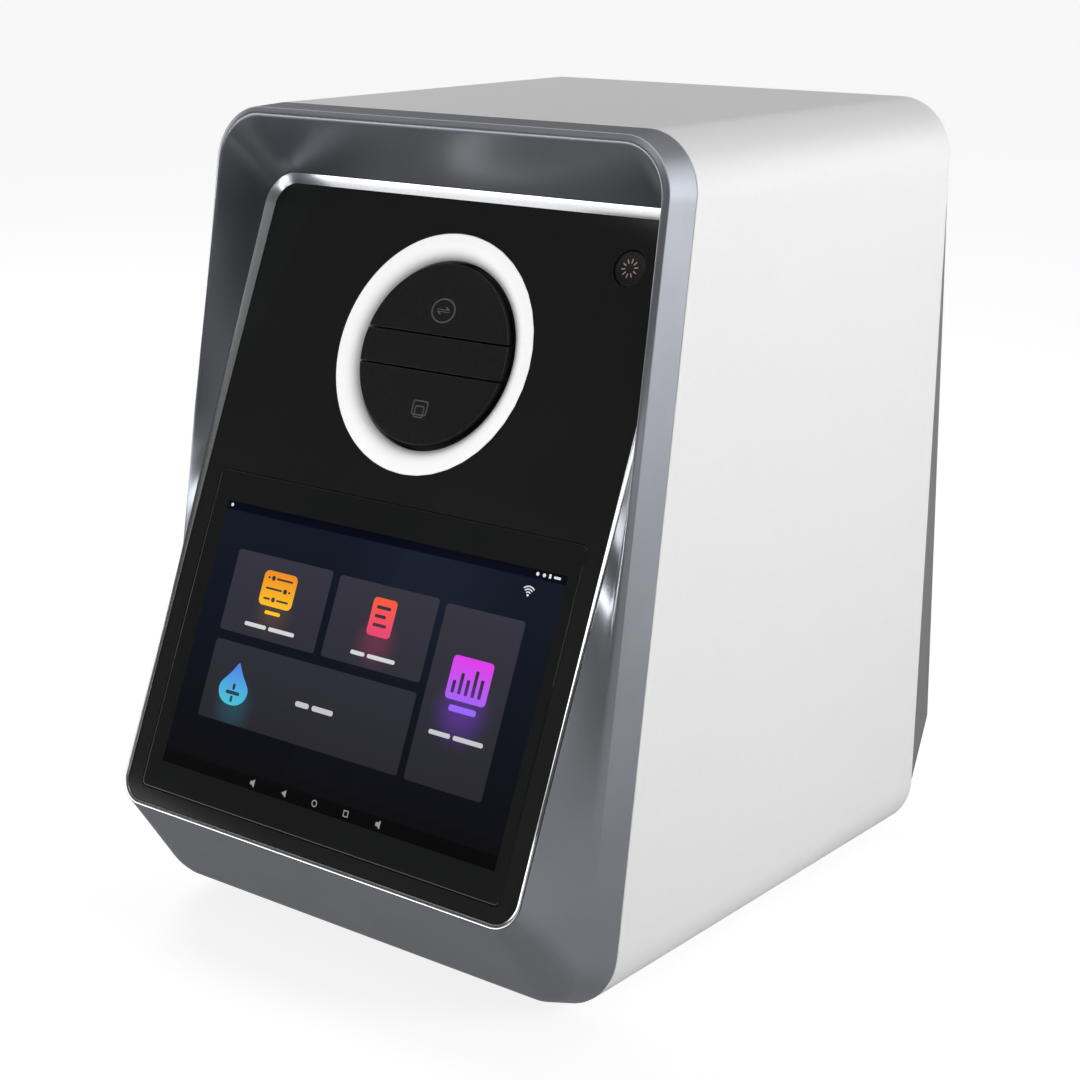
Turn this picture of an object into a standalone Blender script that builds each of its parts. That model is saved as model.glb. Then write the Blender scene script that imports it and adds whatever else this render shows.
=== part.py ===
"""Tabletop hematology analyzer with a leaning touch panel, a motor-driven cartridge tray and a microscope.

Metres, +Z up, front towards -Y. The origin is under the middle of the case, on the surface that its feet
stand on. The outer shell is a rounded tube. A bezel closes its front: a hood at the top that turns into a
prow at the bottom, round a black panel that leans back. The tray comes straight out through the middle of
the round key pad.
"""

from math import cos, hypot, pi, radians, sin

import bmesh
import bpy
from mathutils import Matrix, Vector

# Clearances and overruns
GAP = 0.0003
PIN_GAP = 0.0003
SLIDE_GAP = 0.0004
OVERRUN = 0.002
MERGE_DISTANCE = 0.00001

# Case: an outline in x and z with its zero at the panel's lower edge, between two leaning joint planes
CASE_BEYOND_PANEL = 0.01414
HOOD_RISE = 0.041915
CASE_BOTTOM = -0.061
CASE_CORNER_RADIUS = 0.030
CASE_WALL = 0.0025
FRONT_JOINT_Y = 0.0659
FRONT_JOINT_SLOPE_SHARE = 0.1543
JOINT_BEHIND_DECK = 0.0198
REAR_JOINT_SLOPE_SHARE = 0.0227
TONGUE_LENGTH = 0.006
TONGUE_WALL = 0.002
FOOT_HEIGHT = 0.005

# Front bezel: the crease between its outer band and its lip, and the crest in front of the crease
CREASE_INSET = 0.0015
CREASE_TOP_DROP = 0.001
CREASE_BOTTOM_RISE = 0.0095
CREASE_RADIUS = 0.027
CREASE_Y = 0.044
CREASE_SLOPE_SHARE = 0.1617
CREST_SIDE_INSET = 0.0014
CREST_SIDE_FORWARD = 0.0048
CREST_TOP_INSET = 0.0038
CREST_TOP_FORWARD = 0.0012
CREST_BOTTOM_INSET = 0.0022
CREST_BOTTOM_FORWARD = 0.0028
CREST_FADE_SHARE = 0.62
BEZEL_WALL = 0.003
BLEND_SHARES = (0.2, 0.4, 0.6, 0.8)

# Panel and its bright trim: u runs up the leaning face from the lower edge, h out of it
PANEL_LEAN_DEGREES = 23
PANEL_BEYOND_GLASS = 0.0102
PANEL_LOW = 0.001
PANEL_ABOVE_RING = 0.0166
PANEL_RADIUS = 0.012
PANEL_THICKNESS = 0.003
PANEL_RIM_WIDTH = 0.004
TRIM_WIDTH_LOW = 0.002
TRIM_WIDTH_HIGH = 0.0048
TRIM_RISE_LOW = 0.0005
TRIM_RISE_HIGH = 0.003
TRIM_FADE_SHARE = 0.3
TRIM_INNER_RISE = 0.0002
FLANGE_THICKNESS = 0.0027
LEDGE_WIDTH = 0.003
LEDGE_THICKNESS = 0.002

# Display
GLASS_HALF_WIDTH = 0.117
GLASS_LOW = 0.0089
GLASS_HIGH = 0.175
GLASS_THICKNESS = 0.0019
GLASS_SINK = 0.0001
GLASS_CORNER_RADIUS = 0.003
DISPLAY_MARGIN = 0.005
DISPLAY_THICKNESS = 0.0067
DISPLAY_LEDGE_WIDTH = 0.004

# Light ring, with its axis square to the panel
RING_ABOVE_GLASS = 0.015
RING_INNER_RADIUS = 0.0472
RING_WIDTH = 0.0125
RING_DISH = 0.003
RING_FLANGE_WIDTH = 0.0033
RING_SKIRT_DEPTH = 0.008
RING_CHANNEL_DEPTH = 0.0055
RING_INNER_WALL = 0.0023
RING_OUTER_WALL = 0.002
RING_LIP_RADIUS = 0.001
LED_BOARD_THICKNESS = 0.0016
LED_SIZE = 0.005
LED_HEIGHT = 0.0014
LED_COUNT = 16

# Round key pad: an upper and a lower key with the tray's front between them
PAD_MARGIN = 0.0023
PAD_SINK = 0.0003
KEY_THICKNESS = 0.003
GROOVE_WIDTH = 0.0009
BAND_HALF_HEIGHT = 0.00765
KEY_TRAVEL = 0.001
KEY_PIN_RADIUS = 0.002
KEY_PIN_FROM_SIDE = 0.0199
KEY_PIN_FROM_END = 0.0169
KEY_PIN_LENGTH = 0.0107
CARRIER_MARGIN = 0.0006
CARRIER_FRONT_DEPTH = 0.007
CARRIER_FLANGE_MARGIN = 0.001
CARRIER_FLANGE_THICKNESS = 0.0025
CARRIER_POST_RADIUS = 0.003
CARRIER_POST_INSET = 0.0222
CARRIER_POST_LENGTH = 0.003
KEY_BOARD_INSET = 0.0037
KEY_BOARD_THICKNESS = 0.0016
DOME_RADIUS = 0.003
DOME_TAPER = 0.0008

# Cartridge tray and its rails
TRAY_FACE_THICKNESS = 0.004
FACE_TONGUE_HALF_WIDTH = 0.030
FACE_TONGUE_REACH = 0.0085
TONGUE_SINK_SHARE = 0.38
TRAY_HALF_WIDTH = 0.031
TRAY_BELOW = 0.007
TRAY_ABOVE = 0.002
TRAY_LENGTH = 0.1397
RECESS_HALF_WIDTH = 0.024
RECESS_DEPTH = 0.005
RECESS_START = 0.015
RECESS_LENGTH = 0.085
WINDOW_HALF_WIDTH = 0.009
WINDOW_HALF_LENGTH = 0.009
SIDE_TONGUE_START = 0.019
SIDE_TONGUE_WIDTH = 0.003
SIDE_TONGUE_RISE = 0.002
SIDE_TONGUE_THICKNESS = 0.002
SLOT_CLEARANCE = 0.0007
RAIL_BEHIND_FRONT = 0.0246344
RAIL_WEB = 0.0044

# Lead screw, nut, bearing and motor
SCREW_X = 0.020
SCREW_Z_BELOW_TRAY = 0.0079
SCREW_RADIUS = 0.003
SCREW_IN_MOTOR = 0.009
NUT_HALF_WIDTH = 0.007
NUT_HALF_LENGTH = 0.006
NUT_FROM_END = 0.008
NUT_EDGE = 0.0006
BEARING_HALF_WIDTH = 0.008
BEARING_LENGTH = 0.007
BEARING_BEHIND_FRONT = 0.0256344
BEARING_DROP = 0.0006
MOTOR_BEHIND_TRAY = 0.0193344
MOTOR_SIZE = 0.028
MOTOR_LENGTH = 0.038
MOTOR_EDGE = 0.003
MOTOR_BOSS_RADIUS = 0.011
MOTOR_BOSS_HEIGHT = 0.002
BRACKET_PLATE = 0.0025
BRACKET_FOOT = 0.012
BRACKET_HALF_WIDTH = 0.018
BRACKET_HEIGHT = 0.031

# Deck, posts and base
DECK_DROP = 0.0225
DECK_THICKNESS = 0.002
DECK_FROM_CASE = 0.03734
DECK_BEHIND_FRONT = 0.0236344
DECK_BEHIND_MOTOR = 0.0146
POST_FROM_DECK = 0.009
POST_INSET = 0.016
POST_RADIUS = 0.005
BASE_THICKNESS = 0.002
BASE_FROM_CASE = 0.03334
BASE_FRONT = 0.072
BASE_BEFORE_JOINT = 0.0118
BASE_FLANGE_HEIGHT = 0.012
FOOT_FROM_BASE = 0.016
FOOT_FRONT_Y = 0.095
FOOT_FROM_REAR = 0.026
FOOT_RADIUS = 0.010
FOOT_TAPER = 0.001
FOOT_SPIGOT_RADIUS = 0.0035

# Microscope
OPTICS_BEHIND_FRONT = 0.0936344
OPTICS_HALF_LENGTH = 0.020
OPTICS_LEG_X = 0.044
OPTICS_SHEET = 0.004
OPTICS_TOE = 0.012
OPTICS_TOE_THICKNESS = 0.003
OPTICS_HEIGHT = 0.0826
LENS_BARREL_RADIUS = 0.012
LENS_BARREL_LENGTH = 0.028
LENS_NECK_RADIUS = 0.008
LENS_TIP_RADIUS = 0.006
LENS_CONE_LENGTH = 0.010
CAMERA_HALF_WIDTH = 0.022
CAMERA_HALF_LENGTH = 0.020
CAMERA_HEIGHT = 0.034
CAMERA_EDGE = 0.002
CAMERA_PLUG_SIZE = 0.010
LAMP_RADIUS = 0.008
LAMP_LENS_RADIUS = 0.005
LAMP_HEIGHT = 0.020
LAMP_LENS_HEIGHT = 0.002

# Electronics on the base
STANDOFF_HEIGHT = 0.010
STANDOFF_RADIUS = 0.003
BOARD_FROM_BASE = 0.020
BOARD_FROM_SUPPLY = 0.010
BOARD_FRONT = 0.155
BOARD_FROM_REAR = 0.036
BOARD_THICKNESS = 0.0016
BOARD_INSET = 0.006
SINK_SIZE = 0.030
SINK_BASE = 0.003
FIN_HEIGHT = 0.011
FIN_THICKNESS = 0.0015
FIN_COUNT = 7
CHIP_SIZE = 0.014
CHIP_HEIGHT = 0.002
HEADER_LENGTH = 0.030
HEADER_WIDTH = 0.006
HEADER_HEIGHT = 0.008
CAN_RADIUS = 0.005
CAN_HEIGHT = 0.012
CAN_PITCH = 0.0128
CAN_COUNT = 3
CAN_START_SHARE = 0.8
SUPPLY_FROM_BASE = 0.040
SUPPLY_HALF_WIDTH = 0.018
SUPPLY_FRONT = 0.120
SUPPLY_HEIGHT = 0.044
SUPPLY_EDGE = 0.001
SUPPLY_SLOT_COUNT = 12
SUPPLY_SLOT_WIDTH = 0.003
SUPPLY_SLOT_DEPTH = 0.0015

# Rear cover: b runs up the back face from z zero, c out of it
COVER_INSET = 0.0013
BACK_BEHIND_JOINT = 0.0187
BACK_SLOPE_SHARE = -0.028
CHAMFER_TOP = 0.002
CHAMFER_SLOPE_SHARE = 0.43
COVER_LEAST_DEPTH = 0.0014
COVER_EDGE = 0.003
EDGE_DEPTH_SHARE = 0.7
ROUND_SHARE = 0.2929

# Fan at the back
FAN_FROM_SIDE = 0.08634
FAN_Z = 0.130
FAN_SIZE = 0.080
FAN_DEPTH = 0.025
FAN_CORNER = 0.005
FAN_BORE_RADIUS = 0.038
FAN_HUB_RADIUS = 0.0185
FAN_HUB_WALL = 0.002
FAN_TIP_GAP = 0.0007
FAN_STRUT_WIDTH = 0.004
FAN_STRUT_OVERLAP = 0.001
FAN_STRUT_DEPTH = 0.003
FAN_STATOR_RADIUS = 0.013
FAN_STATOR_DEPTH = 0.0112
FAN_PIN_RADIUS = 0.0022
FAN_PIN_LENGTH = 0.0054
FAN_SLEEVE_RADIUS = 0.0045
FAN_SLEEVE_LENGTH = 0.0038
FAN_ROTOR_DEPTH = 0.0187
FAN_SCREW_PITCH = 0.0715
FAN_SCREW_RADIUS = 0.0022
BLADE_COUNT = 7
BLADE_CHORD_ROOT = 0.0165
BLADE_CHORD_TIP = 0.026
BLADE_THICKNESS = 0.0016
BLADE_EDGE = 0.0005
BLADE_CAMBER_SHARE = 0.12
BLADE_ROOT_DEGREES = 48
BLADE_TIP_DEGREES = 28
BLADE_SWEEP_DEGREES = 14
GRILLE_RINGS = 4
GRILLE_BAR = 0.0025
GRILLE_HUB_RADIUS = 0.010
GRILLE_SECTORS = 4
VENT_FROM_SIDE = 0.08134
VENT_FROM_TOP = 0.142
VENT_LENGTH = 0.060
VENT_WIDTH = 0.003
VENT_PITCH = 0.008
VENT_COUNT = 7

# Sockets and switch at the back
SOCKET_SINK = 0.0004
INLET_FROM_SIDE = 0.05634
INLET_Z = 0.045
INLET_WIDTH = 0.027
INLET_HEIGHT = 0.0194
INLET_DEPTH = 0.024
INLET_WALL = 0.0015
INLET_HOLLOW_DEPTH = 0.017
INLET_FLANGE_WIDTH = 0.050
INLET_FLANGE_HEIGHT = 0.026
INLET_FLANGE_THICKNESS = 0.002
INLET_CORNER = 0.005
INLET_PIN_LENGTH = 0.014
INLET_PIN_WIDTH = 0.002
INLET_PIN_BREADTH = 0.004
INLET_PIN_X = 0.007
INLET_LIVE_DROP = 0.002
INLET_EARTH_RISE = 0.0035
SWITCH_Z = 0.090
SWITCH_WIDTH = 0.0155
SWITCH_HEIGHT = 0.021
SWITCH_DEPTH = 0.018
SWITCH_WALL = 0.0015
SWITCH_WELL_DEPTH = 0.013
SWITCH_FLANGE = 0.003
SWITCH_FLANGE_THICKNESS = 0.002
ROCKER_RADIUS = 0.0086
ROCKER_TILT_DEGREES = 10
ROCKER_RISE_DEGREES = 28
ROCKER_UNDER_DEGREES = 35
ROCKER_WAIST_SHARE = 0.28
ROCKER_PIVOT_DEPTH = 0.0052
ROCKER_PIN_RADIUS = 0.0012
ROCKER_PIN_REACH = 0.0012
PORT_BOARD_DEPTH = 0.0184
PORT_BOARD_HALF_WIDTH = 0.035
PORT_BOARD_HALF_HEIGHT = 0.018
PORTS_FROM_INLET = 0.070
PORT_HALF_PITCH = 0.015
PORT_Z = 0.040
PORT_BOARD_INSET = 0.005
PORT_BOSS_RADIUS = 0.003
USB_WIDTH = 0.0131
USB_HEIGHT = 0.0057
USB_WALL = 0.0004
USB_HOLLOW_DEPTH = 0.010
USB_TONGUE_THICKNESS = 0.0018
USB_TONGUE_WIDTH = 0.0110
LAN_WIDTH = 0.016
LAN_HEIGHT = 0.0135
LAN_HOLLOW_WIDTH = 0.0118
LAN_HOLLOW_HEIGHT = 0.0068
LAN_HOLLOW_DEPTH = 0.0125
LAN_NOTCH_WIDTH = 0.006
LAN_NOTCH_HEIGHT = 0.0028

# Power button
BUTTON_FROM_SIDE = 0.0252
BUTTON_FROM_TOP = 0.0235
BUTTON_RADIUS = 0.0084
BUTTON_GAP = 0.0004
BUTTON_SINK = 0.0002
BUTTON_THICKNESS = 0.0048
BUTTON_EDGE = 0.0004
BUTTON_TRAVEL = 0.0015
BUTTON_STEM_RADIUS = 0.004
BUTTON_STEM_LENGTH = 0.0052
BUTTON_CUP_WALL = 0.0027
BUTTON_FLOOR_DEPTH = 0.009
BUTTON_FLOOR_THICKNESS = 0.0015
BUTTON_SKIRT_DEPTH = 0.0145
BUTTON_SKIRT_WALL = 0.0018
BUTTON_SWITCH_SIZE = 0.0131
BUTTON_SWITCH_HEIGHT = 0.006
BUTTON_PLUNGER_RADIUS = 0.002
BUTTON_PLUNGER_HEIGHT = 0.001

# Facets of arcs and rounds
ARC_STEPS = 8
ROUND_STEPS = 40
TURNED_STEPS = 24
ROD_STEPS = 16
SIDE_SHARES = (0.17, 0.33, 0.5, 0.67, 0.83)
ORIGIN = (0, 0, 0)

# Places that follow from the sizes above
LEAN = radians(PANEL_LEAN_DEGREES)
PANEL_HALF_WIDTH = GLASS_HALF_WIDTH + PANEL_BEYOND_GLASS
CASE_HALF_WIDTH = PANEL_HALF_WIDTH + CASE_BEYOND_PANEL
RING_RADIUS = RING_INNER_RADIUS + RING_WIDTH
RING_FLANGE_RADIUS = RING_RADIUS + RING_FLANGE_WIDTH
RING_CHANNEL_INNER = RING_INNER_RADIUS + RING_INNER_WALL
RING_CHANNEL_OUTER = RING_FLANGE_RADIUS - RING_OUTER_WALL
PAD_RADIUS = RING_INNER_RADIUS - PAD_MARGIN
KEY_PIN_X = PAD_RADIUS - KEY_PIN_FROM_SIDE
KEY_PIN_U = PAD_RADIUS - KEY_PIN_FROM_END
CARRIER_RADIUS = RING_INNER_RADIUS - CARRIER_MARGIN
CARRIER_FLANGE_RADIUS = RING_FLANGE_RADIUS - CARRIER_FLANGE_MARGIN
CARRIER_POST_X = RING_RADIUS - CARRIER_POST_INSET
KEY_BOARD_RADIUS = RING_RADIUS - KEY_BOARD_INSET
RING_U = GLASS_HIGH + RING_ABOVE_GLASS + RING_RADIUS
PANEL_HIGH = RING_U + RING_RADIUS + PANEL_ABOVE_RING
CASE_TOP = PANEL_HIGH * cos(LEAN) + HOOD_RISE
BUTTON_X = PANEL_HALF_WIDTH - BUTTON_FROM_SIDE
BUTTON_U = PANEL_HIGH - BUTTON_FROM_TOP
VENT_Z = CASE_TOP - VENT_FROM_TOP
RING_Y = RING_U * sin(LEAN)
RING_Z = RING_U * cos(LEAN)
FLANGE_FRONT = -PANEL_THICKNESS - GAP
FLANGE_BACK = FLANGE_FRONT - FLANGE_THICKNESS
SEAT_DEPTH = FLANGE_BACK - GAP
BASE_BOTTOM = CASE_BOTTOM + CASE_WALL + GAP
BASE_TOP = BASE_BOTTOM + BASE_THICKNESS
TRAY_BOTTOM = RING_Z - TRAY_BELOW
TRAY_TOP = RING_Z + TRAY_ABOVE
TRAY_FRONT = RING_Y + FACE_TONGUE_REACH + GAP
TRAY_REAR = TRAY_FRONT + TRAY_LENGTH
RAIL_START = TRAY_FRONT + RAIL_BEHIND_FRONT
BEARING_FRONT = TRAY_FRONT + BEARING_BEHIND_FRONT
OPTICS_Y = TRAY_FRONT + OPTICS_BEHIND_FRONT
MOTOR_FRONT = TRAY_REAR + MOTOR_BEHIND_TRAY
DECK_FRONT = TRAY_FRONT + DECK_BEHIND_FRONT
DECK_REAR = MOTOR_FRONT + MOTOR_LENGTH + DECK_BEHIND_MOTOR
REAR_JOINT_Y = DECK_REAR + JOINT_BEHIND_DECK
BACK_Y = REAR_JOINT_Y + BACK_BEHIND_JOINT
FAN_X = CASE_HALF_WIDTH - FAN_FROM_SIDE
VENT_X = VENT_FROM_SIDE - CASE_HALF_WIDTH
INLET_X = INLET_FROM_SIDE - CASE_HALF_WIDTH
SWITCH_X = INLET_X
PORT_BOARD_X = INLET_X + PORTS_FROM_INLET
USB_X = PORT_BOARD_X - PORT_HALF_PITCH
LAN_X = PORT_BOARD_X + PORT_HALF_PITCH
DECK_HALF_WIDTH = CASE_HALF_WIDTH - DECK_FROM_CASE
POST_X = DECK_HALF_WIDTH - POST_FROM_DECK
BASE_HALF_WIDTH = CASE_HALF_WIDTH - BASE_FROM_CASE
BASE_REAR = REAR_JOINT_Y - BASE_BEFORE_JOINT
FOOT_X = BASE_HALF_WIDTH - FOOT_FROM_BASE
FOOT_REAR_Y = BASE_REAR - FOOT_FROM_REAR
SUPPLY_X = BASE_HALF_WIDTH - SUPPLY_FROM_BASE
BOARD_LEFT = BOARD_FROM_BASE - BASE_HALF_WIDTH
BOARD_RIGHT = SUPPLY_X - SUPPLY_HALF_WIDTH - BOARD_FROM_SUPPLY
BOARD_REAR = BASE_REAR - BOARD_FROM_REAR
DECK_TOP = TRAY_BOTTOM - DECK_DROP
DECK_BOTTOM = DECK_TOP - DECK_THICKNESS
SCREW_Z = TRAY_BOTTOM - SCREW_Z_BELOW_TRAY
RAIL_END = MOTOR_FRONT - GAP - BRACKET_PLATE - BRACKET_FOOT - SLIDE_GAP
SLOT_HALF_WIDTH = TRAY_HALF_WIDTH + SIDE_TONGUE_WIDTH + SLOT_CLEARANCE
LED_BOARD_FRONT = -RING_SKIRT_DEPTH - GAP
CARRIER_FLANGE_FRONT = LED_BOARD_FRONT - LED_BOARD_THICKNESS - GAP
CARRIER_BACK = CARRIER_FLANGE_FRONT - CARRIER_FLANGE_THICKNESS
KEY_BOARD_FRONT = CARRIER_BACK - CARRIER_POST_LENGTH - GAP
KEY_BOARD_BACK = KEY_BOARD_FRONT - KEY_BOARD_THICKNESS


def new_collection(name):
    """An empty collection of this name in the scene."""
    collection = bpy.data.collections.new(name)
    bpy.context.scene.collection.children.link(collection)
    return collection


for old in list(bpy.data.objects):
    bpy.data.objects.remove(old, do_unlink=True)
PARTS = new_collection("hematology_analyzer")
CUTTERS = new_collection("cutters")


def look(name, colour, roughness, metallic=0):
    """A Principled material with one colour."""
    material = bpy.data.materials.new(name)
    material.use_nodes = True
    shader = material.node_tree.nodes["Principled BSDF"]
    shader.inputs["Base Color"].default_value = (*colour, 1)
    shader.inputs["Roughness"].default_value = roughness
    shader.inputs["Metallic"].default_value = metallic
    material.diffuse_color = (*colour, 1)
    return material


def empty(name, parent=None, at=ORIGIN, turn=ORIGIN):
    """A datum that other pieces hang on."""
    datum = bpy.data.objects.new(name, None)
    PARTS.objects.link(datum)
    datum.parent = parent
    datum.location = at
    datum.rotation_euler = turn
    return datum


def mesh_of(name, shape):
    """The mesh of a bmesh whose faces are turned outwards."""
    bmesh.ops.recalc_face_normals(shape, faces=shape.faces)
    mesh = bpy.data.meshes.new(name)
    shape.to_mesh(mesh)
    shape.free()
    mesh.shade_smooth()
    mesh.set_sharp_from_angle(angle=radians(35))
    return mesh


def part(name, shape, parent, material, at=ORIGIN, turn=ORIGIN):
    """A named piece, from a bmesh or a finished mesh."""
    mesh = mesh_of(name, shape) if isinstance(shape, bmesh.types.BMesh) else shape
    piece = bpy.data.objects.new(name, mesh)
    PARTS.objects.link(piece)
    piece.parent = parent
    piece.location = at
    piece.rotation_euler = turn
    if not mesh.materials:
        mesh.materials.append(material)
    return piece


def combine(target, name, shape, operation, at=ORIGIN, turn=ORIGIN, parent=None):
    """Adds a hidden tool to the piece's own frame, or to its parent's, and joins or cuts with it."""
    mesh = mesh_of(name, shape) if isinstance(shape, bmesh.types.BMesh) else shape
    tool = bpy.data.objects.new(name, mesh)
    CUTTERS.objects.link(tool)
    tool.parent = parent or target
    tool.location = at
    tool.rotation_euler = turn
    tool.hide_render = True
    tool.display_type = "WIRE"
    modifier = target.modifiers.new(name, "BOOLEAN")
    modifier.operation = operation
    modifier.object = tool
    modifier.solver = "EXACT"
    return tool


def cut(target, name, shape, **place):
    """Takes the tool's shape out of the piece."""
    return combine(target, name, shape, "DIFFERENCE", **place)


def fuse(target, name, shape, **place):
    """Joins the tool's shape to the piece."""
    return combine(target, name, shape, "UNION", **place)


def soften(target, width, segments=2, degrees=50):
    """Rounds the sharp edges of a piece."""
    modifier = target.modifiers.new("Softened", "BEVEL")
    modifier.width = width
    modifier.segments = segments
    modifier.limit_method = "ANGLE"
    modifier.angle_limit = radians(degrees)


def turn_profile(target, steps=TURNED_STEPS):
    """Turns the piece's open profile about its own Z axis."""
    modifier = target.modifiers.new("Turned", "SCREW")
    modifier.axis = "Z"
    modifier.steps = steps
    modifier.render_steps = steps
    modifier.use_merge_vertices = True
    modifier.merge_threshold = MERGE_DISTANCE
    modifier.use_smooth_shade = True


def profile_mesh(name, points, closed=False):
    """Edges through points (radius, height) that run down the outer side."""
    edges = [(index, index + 1) for index in range(len(points) - 1)]
    if closed:
        edges.append((len(points) - 1, 0))
    mesh = bpy.data.meshes.new(name)
    mesh.from_pydata([(radius, 0, height) for radius, height in points], edges, [])
    return mesh


def turned(name, points, parent, material, at=ORIGIN, turn=ORIGIN, closed=False, steps=TURNED_STEPS):
    """A turned piece; a closed profile makes a ring."""
    piece = part(name, profile_mesh(name, points, closed), parent, material, at, turn)
    turn_profile(piece, steps)
    return piece


def add_box(shape, low, high):
    """A box between two opposite corners."""
    size = [far - near for near, far in zip(low, high)]
    middle = [(near + far) / 2 for near, far in zip(low, high)]
    bmesh.ops.create_cube(shape, size=1, matrix=Matrix.Translation(middle) @ Matrix.Diagonal((*size, 1)))


def add_rod(shape, start, end, radius, end_radius=None, steps=ROD_STEPS):
    """A round bar, or a cone, between two points."""
    along = Vector(end) - Vector(start)
    turn = along.to_track_quat("Z", "Y").to_matrix().to_4x4()
    matrix = Matrix.Translation(Vector(start) + along / 2) @ turn
    last = radius if end_radius is None else end_radius
    bmesh.ops.create_cone(
        shape, cap_ends=True, segments=steps, radius1=radius, radius2=last, depth=along.length, matrix=matrix
    )


def add_prism(shape, outline, low, high, axis="Z"):
    """A flat outline of pairs, drawn out along one axis; the pairs keep the order X, Y, Z of the others."""
    order = {"X": (2, 0, 1), "Y": (0, 2, 1), "Z": (0, 1, 2)}[axis]
    rows = []
    for level in (low, high):
        rows.append([shape.verts.new([(*pair, level)[slot] for slot in order]) for pair in outline])
    count = len(outline)
    shape.faces.new(rows[0])
    shape.faces.new(rows[1])
    for index in range(count):
        after = (index + 1) % count
        shape.faces.new((rows[0][index], rows[0][after], rows[1][after], rows[1][index]))


def box(low, high):
    """A new bmesh with one box."""
    shape = bmesh.new()
    add_box(shape, low, high)
    return shape


def rod(start, end, radius, steps=ROD_STEPS):
    """A new bmesh with one round bar."""
    shape = bmesh.new()
    add_rod(shape, start, end, radius, steps=steps)
    return shape


def corner_points(half_width, half_height, radius, steps=4):
    """A rounded rectangle about zero, as pairs."""
    points = []
    for quarter, (side, level) in enumerate(((1, 1), (-1, 1), (-1, -1), (1, -1))):
        for step in range(steps + 1):
            angle = (quarter + step / steps) * pi / 2
            across = side * (half_width - radius) + radius * cos(angle)
            up = level * (half_height - radius) + radius * sin(angle)
            points.append((across, up))
    return points


def rounded_outline(half_width, bottom, top, low_radius, high_radius, side_shares=SIDE_SHARES):
    """Points and outward normals (x, z, nx, nz) from the lower right corner over the top to the left."""
    right = []
    corners = ((bottom + low_radius, low_radius, -pi / 2), (top - high_radius, high_radius, 0))
    for level, radius, start in corners:
        for step in range(ARC_STEPS + 1):
            angle = start + step / ARC_STEPS * pi / 2
            across = half_width - radius + radius * cos(angle)
            right.append((across, level + radius * sin(angle), cos(angle), sin(angle)))
    low_z = bottom + low_radius
    high_z = top - high_radius
    sides = [(half_width, low_z + (high_z - low_z) * share, 1, 0) for share in side_shares]
    right[ARC_STEPS + 1 : ARC_STEPS + 1] = sides
    left = [(-x, z, -nx, nz) for x, z, nx, nz in reversed(right)]
    return right + left


def case_outline(inset=0, side_shares=SIDE_SHARES):
    """The case's outline, moved in by an inset."""
    radius = CASE_CORNER_RADIUS - inset
    low = CASE_BOTTOM + inset
    return rounded_outline(CASE_HALF_WIDTH - inset, low, CASE_TOP - inset, radius, radius, side_shares)


def front_joint(z):
    """Where the shell meets the bezel."""
    return FRONT_JOINT_Y + FRONT_JOINT_SLOPE_SHARE * z


def rear_joint(z):
    """Where the shell meets the rear cover."""
    return REAR_JOINT_Y + REAR_JOINT_SLOPE_SHARE * z


def upright(outline, depth_at, offset=0):
    """An outline's points at the depth that a function of z gives."""
    return [(x, depth_at(z) + offset, z) for x, z, _, _ in outline]


def on_panel(x, u, h):
    """A point of the leaning panel's frame: u up its face from the lower edge, h out of it."""
    return (x, u * sin(LEAN) - h * cos(LEAN), u * cos(LEAN) + h * sin(LEAN))


def trim_share(u):
    """How far the trim has widened at this height: none at the bottom, all at the top."""
    start = PANEL_LOW + (PANEL_HIGH - PANEL_LOW) * TRIM_FADE_SHARE
    return min(1, max(0, (u - start) / (PANEL_HIGH - start)))


def trim_width(u):
    """The trim's width at this height."""
    return TRIM_WIDTH_LOW + (TRIM_WIDTH_HIGH - TRIM_WIDTH_LOW) * trim_share(u)


def trim_rise(u):
    """How far the trim's outer edge stands out of the panel at this height."""
    return TRIM_RISE_LOW + (TRIM_RISE_HIGH - TRIM_RISE_LOW) * trim_share(u)


def panel_loop(width_share, offset, depth=None, rooms=None):
    """The panel's outline moved out by a share of the trim's width, at a depth or the trim's rise."""
    points = []
    edge = rounded_outline(PANEL_HALF_WIDTH, PANEL_LOW, PANEL_HIGH, PANEL_RADIUS, PANEL_RADIUS)
    for (x, u, nx, nu), room in zip(edge, rooms or [0] * len(edge)):
        out = trim_width(u) * width_share + offset + room
        h = trim_rise(u) if depth is None else depth
        points.append(on_panel(x + nx * out, u + nu * out, h))
    return points


def loft(loops, ring=False):
    """Skins loops of equal count; without a ring, both ends are closed by rungs from side to side."""
    shape = bmesh.new()
    rows = [[shape.verts.new(point) for point in loop] for loop in loops]
    count = len(rows[0])
    for near, far in zip(rows, rows[1:] + rows[:1] if ring else rows[1:]):
        for index in range(count):
            after = (index + 1) % count
            shape.faces.new((near[index], near[after], far[after], far[index]))
    if not ring:
        for row in (rows[0], rows[-1]):
            for index in range(count // 2 - 1):
                shape.faces.new((row[index], row[index + 1], row[count - 2 - index], row[count - 1 - index]))
    return shape


def blend(first, last, share):
    """The loop at a share of the way between two loops."""
    return [tuple(a + (b - a) * share for a, b in zip(near, far)) for near, far in zip(first, last)]


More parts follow.
